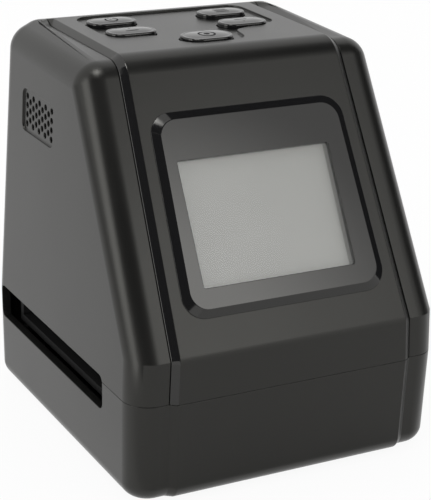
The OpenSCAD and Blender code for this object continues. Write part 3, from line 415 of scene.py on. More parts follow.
def hull(points):
    """A solid stretched over points."""
    maker = bmesh.new()
    for point in points:
        maker.verts.new(point)
    bmesh.ops.remove_doubles(maker, verts=maker.verts, dist=0.001 * MM)
    result = bmesh.ops.convex_hull(maker, input=maker.verts)
    spare = {v for v in result["geom_interior"] + result["geom_unused"] if isinstance(v, bmesh.types.BMVert)}
    bmesh.ops.delete(maker, geom=list(spare), context="VERTS")
    return to_object(maker, "hull")


def skin(maker, layers):
    """Faces over rings of vertices, one ring above the other, and over both ends."""
    rows = [[maker.verts.new(point) for point in layer] for layer in layers]
    for lower, upper in zip(rows, rows[1:]):
        for i in range(len(lower)):
            maker.faces.new((lower[i - 1], lower[i], upper[i], upper[i - 1]))
    maker.faces.new(rows[0])
    maker.faces.new(rows[-1])


def loft(layers, place, name="loft"):
    """A closed solid through (outline, level) layers that have as many points each."""
    maker = bmesh.new()
    skin(maker, [[place(a, b, level) for a, b in outline] for outline, level in layers])
    return to_object(maker, name)


def prism(outline, place, low, high, name="prism"):
    """A solid with a 2D outline, laid by place(a, b, c) from c = low to c = high."""
    return loft([(outline, low), (outline, high)], place, name)


def upright(a, b, c):
    """Lays an outline level, with its levels as heights."""
    return Vector((a, b, c))


def sideways(a, b, c):
    """Lays an outline of y against z, with its levels along X."""
    return Vector((c, a, b))


def endways(a, b, c):
    """Lays an outline of x against z, with its levels along Y."""
    return Vector((a, c, b))


def remove(pieces):
    for piece in pieces:
        mesh = piece.data
        bpy.data.objects.remove(piece)
        bpy.data.meshes.remove(mesh)


def join(pieces, name="joined"):
    """Several solids that don't touch, as one object."""
    maker = bmesh.new()
    for piece in pieces:
        maker.from_mesh(piece.data)
    remove(pieces)
    return to_object(maker, name)


def rods(places, radius, low, high, steps=32):
    """Upright rods of one size at several places."""
    return join([prism(circle(x, y, radius, steps), upright, low, high) for x, y in places])


def settle(piece):
    """Applies a piece's modifiers."""
    bpy.context.view_layer.update()
    seen = piece.evaluated_get(bpy.context.evaluated_depsgraph_get())
    mesh = bpy.data.meshes.new_from_object(seen)
    old = piece.data
    piece.modifiers.clear()
    piece.data = mesh
    bpy.data.meshes.remove(old)


def carve(piece, tools, operation="DIFFERENCE"):
    """Cuts tools out of a piece, or adds them, and removes the tools."""
    for tool in tools:
        change = piece.modifiers.new("carve", "BOOLEAN")
        change.operation = operation
        change.solver = "EXACT"
        change.object = tool
        settle(piece)
    remove(tools)
    return piece


def finish_shell(piece, name, edge, segments=2, limit=24):
    """Merges the flats of a carved shell, breaks edges sharper than limit, and shades it smooth."""
    weld, flat = 0.004 * MM, math.radians(0.25)
    maker = bmesh.new()
    maker.from_mesh(piece.data)
    bmesh.ops.remove_doubles(maker, verts=maker.verts, dist=weld)
    bmesh.ops.dissolve_limit(maker, angle_limit=flat, verts=maker.verts, edges=maker.edges)
    maker.to_mesh(piece.data)
    maker.free()
    piece.name = piece.data.name = name
    rounding = piece.modifiers.new("edge", "BEVEL")
    rounding.width = edge
    rounding.segments = segments
    rounding.limit_method = "ANGLE"
    rounding.angle_limit = math.radians(limit)
    rounding.use_clamp_overlap = False
    rounding.miter_outer = "MITER_ARC"
    piece.data.shade_smooth()
    piece.modifiers.new("flats", "WEIGHTED_NORMAL").weight = 90


def dress(piece, finish):
    """Gives a piece one finish."""
    piece.data.materials.clear()
    piece.data.materials.append(finish)


def hand_over(piece, slot, finish, *nodes, body=BODY):
    """Gives a piece its finish and body, and lets it stand for its nodes."""
    dress(piece, finish)
    if nodes:
        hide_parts(*nodes)
    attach(piece, body)


# ---------------------------------------------------------------- finishes

def plug(value, socket):
    """Links a socket to an input, or sets the input to a plain value."""
    if isinstance(value, NodeSocket):
        socket.id_data.links.new(value, socket)
    else:
        socket.default_value = value


def set_inputs(node, **values):
    """Sets or links a node's inputs by name; an underscore stands for a space."""
    for label, value in values.items():
        plug(value, node.inputs[label.replace("_", " ")])


def add_node(tree, kind, *plugs, **values):
    """A shader node: plugs fill its inputs in order, values its properties or its inputs by name."""
    node = tree.nodes.new("ShaderNode" + kind)
    for key in [key for key in values if hasattr(node, key)]:
        setattr(node, key, values.pop(key))
    for value, socket in zip(plugs, node.inputs):
        plug(value, socket)
    set_inputs(node, **values)
    return node


def math_node(tree, operation, *values):
    return add_node(tree, "Math", *values, operation=operation).outputs[0]


def blend_colour(tree, factor, first, second):
    """A mix of two colours; each argument is a socket or a value."""
    node = add_node(tree, "Mix", data_type="RGBA")
    for index, value in ((0, factor), (6, first), (7, second)):
        plug(value, node.inputs[index])
    return node.outputs[2]


def object_place(tree):
    return add_node(tree, "TexCoord").outputs["Object"]


def noise(tree, place, scale, detail=2.0, **values):
    return add_node(tree, "TexNoise", Vector=place, Scale=scale, Detail=detail, **values).outputs["Fac"]


def moulding_group():
    """Group of a moulded surface: fine spark-eroded grain, faint flow marks and a little settled dust."""
    name = "Moulded surface"
    if name in bpy.data.node_groups:
        return bpy.data.node_groups[name]
    group = bpy.data.node_groups.new(name, "ShaderNodeTree")
    colour_kind, value_kind = "NodeSocketColor", "NodeSocketFloat"
    for way, kind, labels in (
            ("INPUT", colour_kind, ["Colour"]),
            ("INPUT", value_kind, ["Roughness", "Gloss change", "Grain scale", "Tone change", "Dust"]),
            ("OUTPUT", colour_kind, ["Colour"]), ("OUTPUT", value_kind, ["Roughness", "Height"])):
        for label in labels:
            group.interface.new_socket(label, in_out=way, socket_type=kind)
    given = group.nodes.new("NodeGroupInput").outputs
    place = object_place(group)
    flow = math_node(group, "SUBTRACT", noise(group, place, 34.0), 0.5)
    specks = math_node(group, "GREATER_THAN", noise(group, place, 900.0, 1.0), 0.79)
    dusty = math_node(group, "MULTIPLY", specks, given["Dust"])
    tint = math_node(group, "MULTIPLY_ADD", flow, given["Tone change"], dusty)
    set_inputs(group.nodes.new("NodeGroupOutput"),
               Colour=blend_colour(group, tint, given["Colour"], (0.25, 0.25, 0.25, 1)),
               Roughness=math_node(group, "MULTIPLY_ADD", flow, given["Gloss change"], given["Roughness"]),
               Height=noise(group, place, given["Grain scale"], 3.0, Roughness=0.6))
    return group


def new_finish(name):
    """An empty node material, its node tree and its shader."""
    finish = bpy.data.materials.new(name)
    finish.use_nodes = True
    return finish, finish.node_tree, finish.node_tree.nodes["Principled BSDF"]


def moulded(name, colour_, roughness, grain=0.02 * MM, scale=4000.0, change=0.1, tone=0.02, dust=0.0,
            **shader):
    """Moulded plastic or rubber with its own grain, made once; shader values go on the shader itself."""
    if name in bpy.data.materials:
        return bpy.data.materials[name]
    finish, tree, surface = new_finish(name)
    group = add_node(tree, "Group", node_tree=moulding_group(), Colour=(*colour_, 1), Roughness=roughness,
                     Gloss_change=change, Grain_scale=scale, Tone_change=tone, Dust=dust).outputs
    bump = add_node(tree, "Bump", Strength=1.0, Distance=grain, Height=group["Height"])
    set_inputs(surface, Base_Color=group["Colour"], Roughness=group["Roughness"],
               Normal=bump.outputs["Normal"], **shader)
    return finish


def shell_finish():
    look = bpy.context.scene.scanner_finish
    return moulded("Satin charcoal", look.shell, look.shell_roughness, grain=0.006 * MM, scale=5200.0,
                   change=0.07, tone=0.012, dust=0.02,
                   Specular_IOR_Level=0.42, Specular_Tint=(1, 0.99, 0.93, 1))


def gloss_finish():
    look = bpy.context.scene.scanner_finish
    return moulded("Polished black", look.gloss, look.gloss_roughness, grain=0.002 * MM, scale=900.0,
                   change=0.03, tone=0.004, Specular_IOR_Level=0.58, Specular_Tint=(1, 0.99, 0.95, 1))


def metal(name, colour_, roughness):
    """Rolled or plated sheet, brushed along one way."""
    finish, tree, surface = new_finish(name)
    brushing = add_node(tree, "Mapping", Vector=object_place(tree), Scale=(1, 12, 1))
    lines = noise(tree, brushing.outputs["Vector"], 600.0)
    darker = tuple(0.8 * part for part in colour_)
    set_inputs(surface, Metallic=1.0, Base_Color=blend_colour(tree, lines, (*darker, 1), (*colour_, 1)),
               Roughness=math_node(tree, "MULTIPLY_ADD", lines, 0.2, roughness - 0.1))
    return finish


def circuit(name):
    """Green solder mask with tracks and pads under it."""
    finish, tree, surface = new_finish(name)
    tracks = add_node(tree, "TexBrick", Vector=object_place(tree), Scale=160.0, Mortar_Size=0.04,
                      Color1=(0.012, 0.10, 0.045, 1), Color2=(0.016, 0.14, 0.06, 1),
                      Mortar=(0.03, 0.2, 0.09, 1)).outputs
    bump = add_node(tree, "Bump", Strength=0.4, Distance=0.03 * MM, Height=tracks["Fac"])
    set_inputs(surface, Base_Color=tracks["Color"], Normal=bump.outputs["Normal"], Roughness=0.32)
    return finish


def clear_pane(name):
    """Clear window plastic: it lets the display show and keeps its own gloss."""
    finish, tree, surface = new_finish(name)
    haze = noise(tree, object_place(tree), 60.0)
    set_inputs(surface, Base_Color=(0.05, 0.052, 0.05, 1), Specular_IOR_Level=1.0,
               Roughness=math_node(tree, "MULTIPLY_ADD", haze, 0.03, 0.03),
               Alpha=math_node(tree, "MULTIPLY_ADD", haze, 0.02, 0.12))
    return finish


def optical_glass(name):
    """Coated lens glass."""
    finish, tree, surface = new_finish(name)
    coating = noise(tree, object_place(tree), 40.0)
    set_inputs(surface, Transmission_Weight=1.0, Roughness=0.03,
               Base_Color=blend_colour(tree, coating, (0.55, 0.62, 0.72, 1), (0.5, 0.7, 0.66, 1)))
    return finish


def display_finish(name, form, screen, look):
    """Display: an even grey picture inside a darker border, with a painted glow that lifts both against the
    shade of their pocket.
    """
    finish, tree, surface = new_finish(name)
    place = object_place(tree)
    seat = add_node(tree, "SeparateXYZ", place).outputs
    middle = form.on_slope(screen.window_side, screen.window_place, screen.proud - screen.depth)
    limits = (("X", middle.x, screen.picture_width / 2),
              ("Z", middle.z, screen.picture_height / 2 * math.sin(form.slope)))
    within = []
    for axis, at, reach in limits:
        off = math_node(tree, "ABSOLUTE", math_node(tree, "SUBTRACT", seat[axis], at))
        within.append(math_node(tree, "LESS_THAN", off, reach))
    dimmer = tuple(0.86 * part for part in look.picture)
    picture = blend_colour(tree, noise(tree, place, 22.0, 1.0), (*dimmer, 1), (*look.picture, 1))
    shown = blend_colour(tree, math_node(tree, "MULTIPLY", *within), (*look.border, 1), picture)
    # Emission is painted light: picture and border glow to make up for the shade that the pocket casts on
    # them.
    set_inputs(surface, Base_Color=shown, Emission_Color=shown, Emission_Strength=look.painted_glow,
               Roughness=0.5)
    return finish


# ---------------------------------------------------------------- operators

def casing_form():
    return CasingForm(bpy.context.scene.scanner_casing)


def band_block(form, extra, low_y, high_y, low_z=None):
    """Everything between the band's edges, extra wider on each side."""
    low = form.parting - PAST if low_z is None else low_z
    high = form.top + PAST
    at_low, at_high = form.band_half(low) + extra, form.band_half(high) + extra
    return prism([(-at_low, low), (at_low, low), (at_high, high), (-at_high, high)], endways, low_y, high_y)


def groove_cuts(form):
    """The hollow that keeps each ramp of the band clear of the rising cheek, with gently sloping sides."""
    casing = form.casing
    inner, foot = casing.band_width / 2, casing.band_width / 2 + casing.ramp + casing.seam
    floor, roof = form.top - casing.relief, form.top + PAST
    rear = form.arc_back - casing.run_out
    corners = [(x, form.arc_front, z) for x, z in rectangle(inner, foot, floor, roof)]
    corners += [(inner, rear, floor), (foot, rear, floor),
                (inner + casing.groove, rear, form.top), (inner + casing.groove, rear, roof)]
    corners += [(x, form.arc_back, z) for z in (form.top, roof) for x in (inner, foot)]
    return [hull([Vector((s * x, y, z)) for x, y, z in corners]) for s in SIDES]


def slot_cuts(openings):
    """The film slot through each side wall."""
    outline = round_outline(rectangle(openings.slot_front, openings.slot_rear, openings.slot_low,
                                      openings.slot_high), openings.slot_radius)
    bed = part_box("film_bed")[1].x
    return [prism(outline, sideways, s * bed, s * FAR) for s in SIDES]


def vent_cuts(form, openings):
    """The shallow recess of each grille, and its staggered holes."""
    face, draft = form.side_at(openings.vent_z), form.casing.side_draft
    corner, outside = 2 * MM, 3 * MM
    plate = round_outline(oblong(openings.vent_width, openings.vent_height), corner, 6)
    recesses, holes = [], []
    for s in SIDES:
        def place(a, b, c):
            return Vector((s * (face - b * math.sin(draft) + c), openings.vent_y + a, openings.vent_z + b))

        recesses.append(prism(plate, place, -openings.vent_depth, outside))
        for column in range(-VENT_COLUMNS, VENT_COLUMNS + 1):
            count = VENT_ROWS - column % 2
            for row in range(count):
                rise = (row - (count - 1) / 2) * openings.vent_pitch_z
                hole = circle(column * openings.vent_pitch_y, rise, openings.vent_hole / 2, 20)
                holes.append(prism(hole, place, -2 * form.casing.wall, outside - PAST))
    return [join(recesses), join(holes)]


def socket_cuts():
    """Openings in the back for the card, which is narrower than its socket, and for the data socket."""
    board_rear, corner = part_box("main_board")[1].y, 0.4 * MM
    cuts = []
    for node, margin_x, margin_z, start in (("sd_card_socket", -1.5 * MM, -0.2 * MM, board_rear),
                                            ("usb_socket", 0.15 * MM, 0.15 * MM, board_rear - PAST)):
        low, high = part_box(node)
        outline = rectangle(low.x - margin_x, high.x + margin_x, low.z - margin_z, high.z + margin_z)
        cuts.append(prism(round_outline(outline, corner, 4), endways, start, FAR))
    return cuts


class SCANNER_OT_upper_housing(Operator):
    """Both cheeks and the back, with the vents, the slot's upper edge and the rear openings"""
    bl_idname = "scanner.upper_housing"
    bl_label = "Upper housing"

    def execute(self, context):
        form = casing_form()
        casing = form.casing
        shell = hull(form.outside_points())
        carve(shell, [hull(form.upper_points(casing.relief + casing.wall, PAST)), join(groove_cuts(form))])
        wide = casing.ramp + casing.seam
        rebate = band_block(form, wide, -FAR, form.rear_wall)
        carve(rebate, [band_block(form, wide, -FAR, FAR, form.seam_z)], "UNION")
        carve(rebate, [prism(form.side_view(casing.cover_wall, 2 * PAST), sideways, -FAR, FAR)])
        narrow = casing.ramp - casing.ledge
        carve(shell, [rebate, band_block(form, narrow, -FAR, form.rear_wall),
                      band_block(form, narrow, 0, FAR, form.seam_z + casing.ledge)])
        openings = context.scene.scanner_openings
        carve(shell, slot_cuts(openings) + vent_cuts(form, openings) + socket_cuts())
        finish_shell(shell, "upper_housing_shell", casing.edge)
        hand_over(shell, "charcoal_shell", shell_finish(), "upper_housing")
        return {"FINISHED"}


def key_sizes(key):
    """Middle, length and breadth of a key cap, from its box without the flange."""
    low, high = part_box(key + "_button")
    flange = 1.2 * MM
    return (low + high) / 2, high.x - low.x - flange, high.y - low.y - flange


def recess_outline():
    """Outline of the key recess: wide around the four side keys, narrowing to the front key."""
    power, side_length, side_breadth = key_sizes("power")
    front, front_length, front_breadth = key_sizes("ok")
    side = (key_sizes("mode")[0].x - power.x + side_length) / 2
    # x, y and radius of each corner on the right, from the rear to the front, with the room around the caps
    right = [(side + 1.6 * MM, power.y + side_breadth / 2 + 5 * MM, 4.5 * MM),
             (side + 1.6 * MM + 0.3 * MM, key_sizes("left")[0].y - 0.9 * MM, 3.4 * MM),
             (front_length / 2 + 3.2 * MM, front.y + 5 * MM, 3 * MM),
             (front_length / 2 + 1.5 * MM, front.y - front_breadth / 2 - 0.5 * MM, 5 * MM)]
    corners = [(-x, y, radius) for x, y, radius in right] + right[::-1]
    return round_outline([(x, y) for x, y, _ in corners], [radius for _, _, radius in corners], 10)


def screen_place(form, screen):
    """Lays an outline about the middle of the screen opening."""
    return lambda a, b, c: form.on_slope(screen.window_side + a, screen.window_place + b, c)


def around_window(screen, lap):
    """Outline of the screen opening, larger by lap each way."""
    return oblong(screen.window_width + lap, screen.window_height + lap)


class SCANNER_OT_front_cover(Operator):
    """The raised band over the front and the top, with the key recess and the screen opening"""
    bl_idname = "scanner.front_cover"
    bl_label = "Front cover"

    def execute(self, context):
        form = casing_form()
        casing, keys, screen = form.casing, context.scene.scanner_keys, context.scene.scanner_screen
        cover = carve(hull(form.band_points()), [hull(form.rear_points())], "UNION")
        behind = rectangle(form.rear_wall, FAR, 0, form.seam_z + casing.seam)
        carve(cover, [prism(outline, sideways, -FAR, FAR)
                      for outline in (form.side_view(casing.cover_wall, PAST), behind)])
        holes = []
        for key in KEYS:
            middle, length_, breadth = key_sizes(key)
            around = stadium(length_ + 2 * keys.gap, breadth + 2 * keys.gap)
            holes.append(prism([(middle.x + p.x, middle.y + p.y) for p in around], upright,
                               form.top - 2 * casing.cover_wall, FAR))
        window = prism(around_window(screen, RIM_LAP + RIM_ROOM), screen_place(form, screen),
                       -SLOPE_CUT, SLOPE_CUT)
        carve(cover, [prism(recess_outline(), upright, form.top - keys.recess, FAR), join(holes), window])
        finish_shell(cover, "front_cover_shell", casing.edge)
        hand_over(cover, "charcoal_shell", shell_finish(), "front_cover")
        cover.data.materials.append(gloss_finish())
        for face in cover.data.polygons:
            on_ramp = -face.center.x > form.band_half(face.center.z) - casing.edge
            leans = RAMP_LEANS[0] < -face.normal.x < RAMP_LEANS[1]
            if on_ramp and leans and face.center.y < form.arc_front:
                face.material_index = 1
        return {"FINISHED"}


class SCANNER_OT_base_housing(Operator):
    """The lower casing with the film slot, its pillars, screw wells and foot seats"""
    bl_idname = "scanner.base_housing"
    bl_label = "Base housing"

    def execute(self, context):
        form = casing_form()
        casing, bottom = form.casing, form.bottom
        head, sleeve, pillar, bore = 2.6 * MM, 3.9 * MM, 2.9 * MM, 1.6 * MM
        well_depth, bed_gap, seat_room = 10 * MM, 3 * MM, 0.15 * MM
        low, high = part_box("housing_screws")
        corners = [(x, y) for x in (low.x + head, high.x - head) for y in (low.y + head, high.y - head)]
        cavity = hull(form.lower_points(casing.wall, bottom + casing.floor))
        carve(cavity, [rods(corners, sleeve, bottom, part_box("film_bed")[0].z - bed_gap),
                       rods(corners, pillar, bottom, form.parting)])
        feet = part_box("rubber_feet")[1]
        seats = [(s * (feet.x - FOOT_RADIUS), e * (feet.y - FOOT_RADIUS)) for s in SIDES for e in SIDES]
        shell = hull(form.lower_points(0, bottom))
        carve(shell, [hull(form.lower_band_points())], "UNION")
        carve(shell, [cavity] + slot_cuts(context.scene.scanner_openings)
              + [rods(corners, pillar, bottom - PAST, bottom + well_depth),
                 rods(corners, bore, bottom, form.parting + PAST),
                 rods(seats, FOOT_RADIUS + seat_room, bottom - PAST, feet.z, 48)])
        finish_shell(shell, "base_housing_shell", casing.edge)
        hand_over(shell, "charcoal_shell", shell_finish(), "base_housing")
        return {"FINISHED"}


def bezel_outline(screen, inset):
    """Outline of the bezel on the slope: a little wider at its foot."""
    lean = (screen.low_width - screen.top_width) / 2 / screen.height
    low = screen.low_width / 2 - inset * (1 + lean)
    high = screen.top_width / 2 - inset * (1 - lean)
    bottom, top = screen.place + inset, screen.place + screen.height - inset
    return round_outline([(-low, bottom), (low, bottom), (high, top), (-high, top)],
                         screen.radius - inset * 0.6, 14)


class SCANNER_OT_screen(Operator):
    """The polished bezel, its clear window and the display behind it"""
    bl_idname = "scanner.screen"
    bl_label = "Screen"

    def execute(self, context):
        form, screen = casing_form(), context.scene.scanner_screen
        sunk, foot, pane = 0.02 * MM, 0.12 * MM, 1.2 * MM
        rim_low, rim_high = -2.4 * MM, 0.3 * MM
        layers = [(bezel_outline(screen, 0), -sunk), (bezel_outline(screen, 0), foot),
                  (bezel_outline(screen, screen.bevel), screen.proud)]
        bezel = loft(layers, form.on_slope)
        at_window = screen_place(form, screen)
        carve(bezel, [prism(around_window(screen, RIM_LAP), at_window, rim_low, rim_high)], "UNION")
        opening = round_outline(around_window(screen, 0), 0.6 * MM, 5)
        carve(bezel, [prism(around_window(screen, PANE_LAP), at_window, -SLOPE_CUT, screen.proud - pane),
                      prism(opening, at_window, -SLOPE_CUT, SLOPE_CUT)])
        finish_shell(bezel, "bezel_plate", screen.edge, 3, limit=13)
        hand_over(bezel, "gloss_black", gloss_finish(), "screen_bezel")
        dress(frame["nodes"]["screen_lens"], clear_pane("Clear window"))
        dress(frame["nodes"]["lcd_module"],
              display_finish("Grey display", form, screen, context.scene.scanner_finish))
        return {"FINISHED"}


def crown_height(keys, top, breadth, inset):
    """Height of a cap's surface, inset from its edge: a rounded rim, then a low dome."""
    dome = 0.22 * MM
    share_in = min(inset / keys.rim_width, 1)
    rim = keys.rim_drop * (1 - math.sqrt(max(0, 1 - (1 - share_in) ** 2)))
    across = min(max(inset - keys.rim_width, 0) / (breadth / 2 - keys.rim_width), 1)
    return top - rim - dome * (1 - across) ** 2 * share_in


def cap_mesh(key, keys):
    """A key cap as nested outlines from its skirt to the line along its middle."""
    middle, length_, breadth = key_sizes(key)
    low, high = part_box(key + "_button")
    skirt = low.z + 0.6 * MM
    softening, lip, first, ridge = 0.06 * MM, 0.08 * MM, 0.02 * MM, 0.3 * MM
    on_rim, on_dome = 8, 12
    dome = breadth / 2 - ridge - keys.rim_width
    insets = [first] + [keys.rim_width * i / on_rim for i in range(1, on_rim + 1)]
    insets += [keys.rim_width + dome * i / on_dome for i in range(1, on_dome + 1)]
    heights = [(softening, skirt), (0.0, skirt + softening),
               (0.0, crown_height(keys, high.z, breadth, 0) - lip)]
    heights += [(inset, crown_height(keys, high.z, breadth, inset)) for inset in insets]
    layers = [(stadium(length_, breadth, inset), level) for inset, level in heights]
    return loft(layers, lambda a, b, c: Vector((middle.x + a, middle.y + b, c)), key + "_cap")


def sign_outlines(key):
    """Generic signs for the keys, as closed outlines in millimetres about the key's middle."""
    def band(radius, width, start, end, steps=24):
        outer = arc(Vector((0, 0)), radius, start, end, steps)
        return outer + arc(Vector((0, 0)), radius - width, end, start, steps)

    def bar(width, height, rise):
        return [(x, y + rise) for x, y in round_outline(oblong(width, height), 0.12, 3)]

    if key == "power":
        gap = math.radians(32)
        return [band(1.9, 0.5, math.pi / 2 + gap, 2.5 * math.pi - gap), bar(0.5, 2.2, 1.4)]
    if key == "mode":
        return [bar(4.0, 0.5, rise) for rise in (-1.2, 0.0, 1.2)]
    if key == "ok":
        return [band(2.4, 0.55, 0, math.tau * 0.999, 48), arc(Vector((0, 0)), 0.8, 0, math.tau * 0.97, 20)]
    turn = 1 if key == "left" else -1
    return [round_outline([(-2.0, -1.1 * turn), (2.0, -1.1 * turn), (0, 1.6 * turn)], 0.15, 3)]


def sign_mesh(key, keys):
    """The printed sign on a cap, lying on its crown."""
    middle, _, breadth = key_sizes(key)
    top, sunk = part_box(key + "_button")[1].z, 0.03 * MM
    maker = bmesh.new()
    for outline in sign_outlines(key):
        on_cap = [(middle.x + x * MM, middle.y + y * MM,
                   crown_height(keys, top, breadth, breadth / 2 - abs(y) * MM)) for x, y in outline]
        skin(maker, [[(x, y, z + rise) for x, y, z in on_cap] for rise in (-sunk, keys.print_rise)])
    return to_object(maker, key + "_sign")


class SCANNER_OT_keys(Operator):
    """The five polished key caps with their printed signs"""
    bl_idname = "scanner.keys"
    bl_label = "Keys"

    def execute(self, context):
        keys = context.scene.scanner_keys
        print_finish = moulded("Key print", context.scene.scanner_finish.signs, 0.7, grain=0.004 * MM,
                               Specular_IOR_Level=0.05)
        for key in KEYS:
            cap = cap_mesh(key, keys)
            cap.data.shade_smooth()
            cap.modifiers.new("flats", "WEIGHTED_NORMAL")
            hand_over(cap, "gloss_black", gloss_finish(), key + "_button", body=key + "_key")
            hand_over(sign_mesh(key, keys), "gloss_black", print_finish, body=key + "_key")
        return {"FINISHED"}


class SCANNER_OT_feet(Operator):
    """Four rubber feet with softened edges and a shallow dish"""
    bl_idname = "scanner.feet"
    bl_label = "Feet"

    def execute(self, context):
        low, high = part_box("rubber_feet")
        # shares of the foot's radius and height, from its top face round to the dish under it
        turned = [(0.94, 1.0), (1.0, 0.9), (1.0, 0.3), (0.985, 0.12), (0.95, 0.03), (0.9, 0.0), (0.62, 0.0),
                  (0.58, 0.06), (0.5, 0.1)]
        feet = []
        for x in (FOOT_RADIUS - high.x, high.x - FOOT_RADIUS):
            for y in (FOOT_RADIUS - high.y, high.y - FOOT_RADIUS):
                feet.append(loft([(circle(x, y, FOOT_RADIUS * part, 64), low.z + (high.z - low.z) * level)
                                  for part, level in turned], upright))
        pads = join(feet, "feet_pads")
        pads.data.shade_smooth()
        pads.data.set_sharp_from_angle(angle=math.radians(40))
        rubber = moulded("Foot rubber", (0.022, 0.022, 0.022), 0.75, grain=0.03 * MM, scale=2500.0)
        hand_over(pads, "foot_rubber", rubber, "rubber_feet")
        return {"FINISHED"}


class SCANNER_OT_inner_pieces(Operator):
    """Finishes of the film path, the camera, the boards, the cables and the screws"""
    bl_idname = "scanner.inner_pieces"
    bl_label = "Inner pieces"

    def execute(self, context):
        nodes = frame["nodes"]
        finishes = {
            moulded("Dull black", (0.005, 0.005, 0.005), 0.6, scale=3000.0):
                ["film_guide", "film_bed", "light_shroud", "lens_barrel", "sensor_holder"]
                + [key + "_plunger" for key in KEYS],
            circuit("Circuit board"): ["key_board", "main_board", "sensor_board"],
            metal("Pressed sheet", (0.62, 0.63, 0.64), 0.34):
                ["lcd_frame", "key_switches", "sd_card_socket", "usb_socket"],
            metal("Plated screw", (0.55, 0.55, 0.56), 0.28):
                [node for node in nodes if node.endswith("screws")],
            moulded("Ribbon", (0.72, 0.72, 0.68), 0.4, tone=0.04):
                [node for node in nodes if node.endswith("ribbon")],
            moulded("White plastic", (0.78, 0.78, 0.75), 0.5, tone=0.03):
                ["light_box", "led_board", "diffuser"],
            moulded("Chip", (0.02, 0.02, 0.022), 0.55): ["main_board_chips"],
            moulded("Red lead", (0.32, 0.025, 0.02), 0.4): ["light_cable"],
            moulded("Diode", (0.8, 0.66, 0.25), 0.35, grain=0.01 * MM, tone=0.05): ["backlight_leds"],
            optical_glass("Lens glass"): ["lens_elements", "image_sensor"],
        }
        for finish, names in finishes.items():
            for name in names:
                dress(nodes[name], finish)
        return {"FINISHED"}


# ---------------------------------------------------------------- stage

def direction(azimuth, elevation):
    """Direction round from the front by azimuth and up by elevation."""
    flat = math.cos(elevation)
    return Vector((math.sin(azimuth) * flat, -math.cos(azimuth) * flat, math.sin(elevation)))


def look_from(stage):
    """The camera's matrix: its place on a sphere about the target, and its roll."""
    away = direction(stage.azimuth, stage.elevation)
    right = Vector((0, 0, 1)).cross(away).normalized()
    up = away.cross(right)
    cos, sin = math.cos(stage.roll), math.sin(stage.roll)
    matrix = Matrix((cos * right + sin * up, cos * up - sin * right, away)).transposed().to_4x4()
    matrix.translation = Vector(stage.target) + stage.distance * away
    return matrix


def around(azimuth, elevation, reach):
    """Matrix of a lamp or card that faces the scanner, in degrees round from its front and up."""
    away = direction(math.radians(azimuth), math.radians(elevation))
    matrix = away.to_track_quat("Z", "Y").to_matrix().to_4x4()
    matrix.translation = Vector((0, 0, 50 * MM)) + reach * away
    return matrix


def lamp(name, place, width, height, level):
    """A soft panel lamp whose face has the given brightness."""
    data = bpy.data.lights.new(name, "AREA")
    data.shape = "RECTANGLE"
    data.size, data.size_y = width, height
    data.energy = level * math.pi * width * height
    piece = bpy.data.objects.new(name, data)
    bpy.context.scene.collection.objects.link(piece)
    piece.matrix_world = place


def card(name, place, width, height, finish):
    """A studio card that only reflections see."""
    maker = bmesh.new()
    maker.faces.new([maker.verts.new((x, y, 0)) for x, y in oblong(width, height)])
    piece = to_object(maker, name)
    piece.matrix_world = place
    piece.data.materials.append(finish)
    piece.visible_camera = piece.visible_diffuse = piece.visible_shadow = False
    piece.visible_transmission = False


def seen_directly(tree):
    """1 for rays from the camera, from gloss and through glass."""
    path = add_node(tree, "LightPath").outputs
    first = math_node(tree, "MAXIMUM", path["Is Camera Ray"], path["Is Glossy Ray"])
    return math_node(tree, "MAXIMUM", first, path["Is Transmission Ray"])


def glow_finish(name, level, plateau):
    """A softbox with a soft edge: even out to a share of its radius, then fading to nothing."""
    finish, tree, surface = new_finish(name)
    place = add_node(tree, "TexCoord").outputs["Generated"]
    spot = add_node(tree, "VectorMath", place, (2, 2, 0), (-1, -1, 0), operation="MULTIPLY_ADD")
    reach = add_node(tree, "VectorMath", spot.outputs[0], operation="LENGTH")
    fade = add_node(tree, "MapRange", Value=reach.outputs["Value"], From_Min=plateau, From_Max=1.0,
                    To_Min=level, To_Max=0.0)
    glow = add_node(tree, "Emission", Strength=fade.outputs["Result"])
    both = add_node(tree, "AddShader", glow.outputs[0], add_node(tree, "BsdfTransparent").outputs[0])
    tree.nodes.remove(surface)
    set_inputs(tree.nodes["Material Output"], Surface=both.outputs[0])
    return finish


def plain_card(name, level):
    """Matt card, equally light all over."""
    finish, _, surface = new_finish(name)
    set_inputs(surface, Base_Color=(level, level, level, 1), Specular_IOR_Level=0.0)
    return finish


def floor_finish():
    """White floor that shows as white, with a faint shadow."""
    finish, tree, surface = new_finish("Studio floor")
    set_inputs(surface, Base_Color=(0.86, 0.86, 0.86, 1), Roughness=1.0, Specular_IOR_Level=0.0)
    glow = add_node(tree, "Emission", Strength=1.0)
    mix = add_node(tree, "MixShader", math_node(tree, "MULTIPLY", seen_directly(tree), 0.93),
                   surface.outputs[0], glow.outputs[0])
    set_inputs(tree.nodes["Material Output"], Surface=mix.outputs[0])
    return finish


def studio_world(level):
    """White behind everything that looks at it, and even light at the given level."""
    world = bpy.context.scene.world or bpy.data.worlds.new("Studio")
    bpy.context.scene.world = world
    world.use_nodes = True
    tree = world.node_tree
    set_inputs(tree.nodes["Background"], Color=(1, 1, 1, 1),
               Strength=math_node(tree, "MULTIPLY_ADD", seen_directly(tree), 1 - level, level))


def studio_camera(stage):
    data = bpy.data.cameras.new("Camera")
    data.sensor_fit = "VERTICAL"
    data.sensor_height = 36
    data.lens = stage.lens
    data.clip_start = 10 * MM
    camera = bpy.data.objects.new("Camera", data)
    bpy.context.scene.collection.objects.link(camera)
    camera.matrix_world = look_from(stage)
    bpy.context.scene.camera = camera


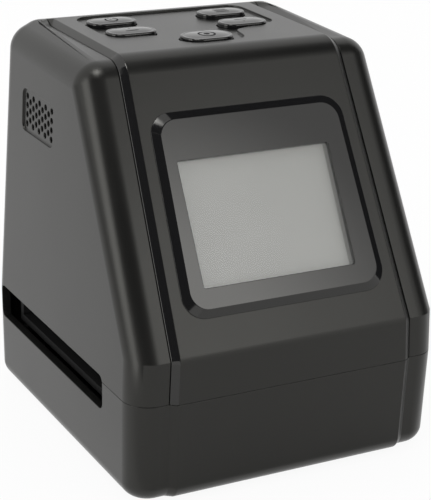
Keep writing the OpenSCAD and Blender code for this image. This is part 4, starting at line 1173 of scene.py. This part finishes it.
class SCANNER_OT_stage(Operator):
    """White floor and surroundings, a soft lamp, cards for the reflections and the camera"""
    bl_idname = "scanner.stage"
    bl_label = "Stage"

    def execute(self, context):
        stage = context.scene.scanner_stage
        studio_camera(stage)
        size, corner, depth, gap = 6, 1.0, 20 * MM, 0.02 * MM
        floor = prism(round_outline(oblong(size, size), corner, 12), upright, -depth, -gap, "Studio_floor")
        floor.data.materials.append(floor_finish())
        studio_world(stage.sky)
        lamp("Left panel", around(-77, 21, 1.2), 0.55, 0.8, 2.5)
        black = plain_card("Black card", 0.01)
        for name, place, width, height, finish in (
                ("Top softbox", around(-45, 77, 0.95), 0.4, 0.4, glow_finish("Top softbox", 9, 0.7)),
                ("Front softbox", around(22, 29, 0.95), 0.5, 0.5, glow_finish("Front softbox", 2.45, 0.5)),
                ("Camera card", around(-25.5, 30, 1.0), 1.52, 0.75, black),
                ("Right card", around(77, 34, 1.0), 0.64, 1.6, black),
                ("Left card", around(-114, 1, 0.9), 0.45, 0.1, black),
                ("Upper card", around(-20, 64, 1.0), 1.3, 0.45, black),
                # Painted shade: a grey sheet that only reflections see, standing in for the floor's shade in
                # front of and to the right of the scanner.
                ("Floor card", Matrix.Translation((0.45, -0.5, 0.3 * MM)), 1.4, 0.9,
                 plain_card("Grey card", 0.78))):
            card(name, place, width, height, finish)
        context.scene.view_settings.view_transform = "Standard"
        return {"FINISHED"}


# ---------------------------------------------------------------- add-on

STEPS = (SCANNER_OT_stage, SCANNER_OT_upper_housing, SCANNER_OT_front_cover, SCANNER_OT_base_housing,
         SCANNER_OT_screen, SCANNER_OT_keys, SCANNER_OT_feet, SCANNER_OT_inner_pieces)


class SCANNER_PT_panel(Panel):
    """Lists the scanner's pieces and settings"""
    bl_idname = "SCANNER_PT_panel"
    bl_label = "Film scanner"
    bl_space_type = "VIEW_3D"
    bl_region_type = "UI"
    bl_category = "Scanner"

    def draw(self, context):
        for step in STEPS:
            self.layout.operator(step.bl_idname)
        for name, group in GROUPS.items():
            box = self.layout.box()
            box.label(text=group.__doc__)
            for key in group.__annotations__:
                box.prop(getattr(context.scene, name), key)


CLASSES = (*GROUPS.values(), *STEPS, SCANNER_PT_panel)


def register():
    for part in CLASSES:
        bpy.utils.register_class(part)
    for name, group in GROUPS.items():
        setattr(bpy.types.Scene, name, PointerProperty(type=group))


def unregister():
    for name in GROUPS:
        delattr(bpy.types.Scene, name)
    for part in reversed(CLASSES):
        bpy.utils.unregister_class(part)


def main():
    register()
    for step in STEPS:
        getattr(bpy.ops.scanner, step.bl_idname.split(".")[1])()


if __name__ == "__main__":
    main()
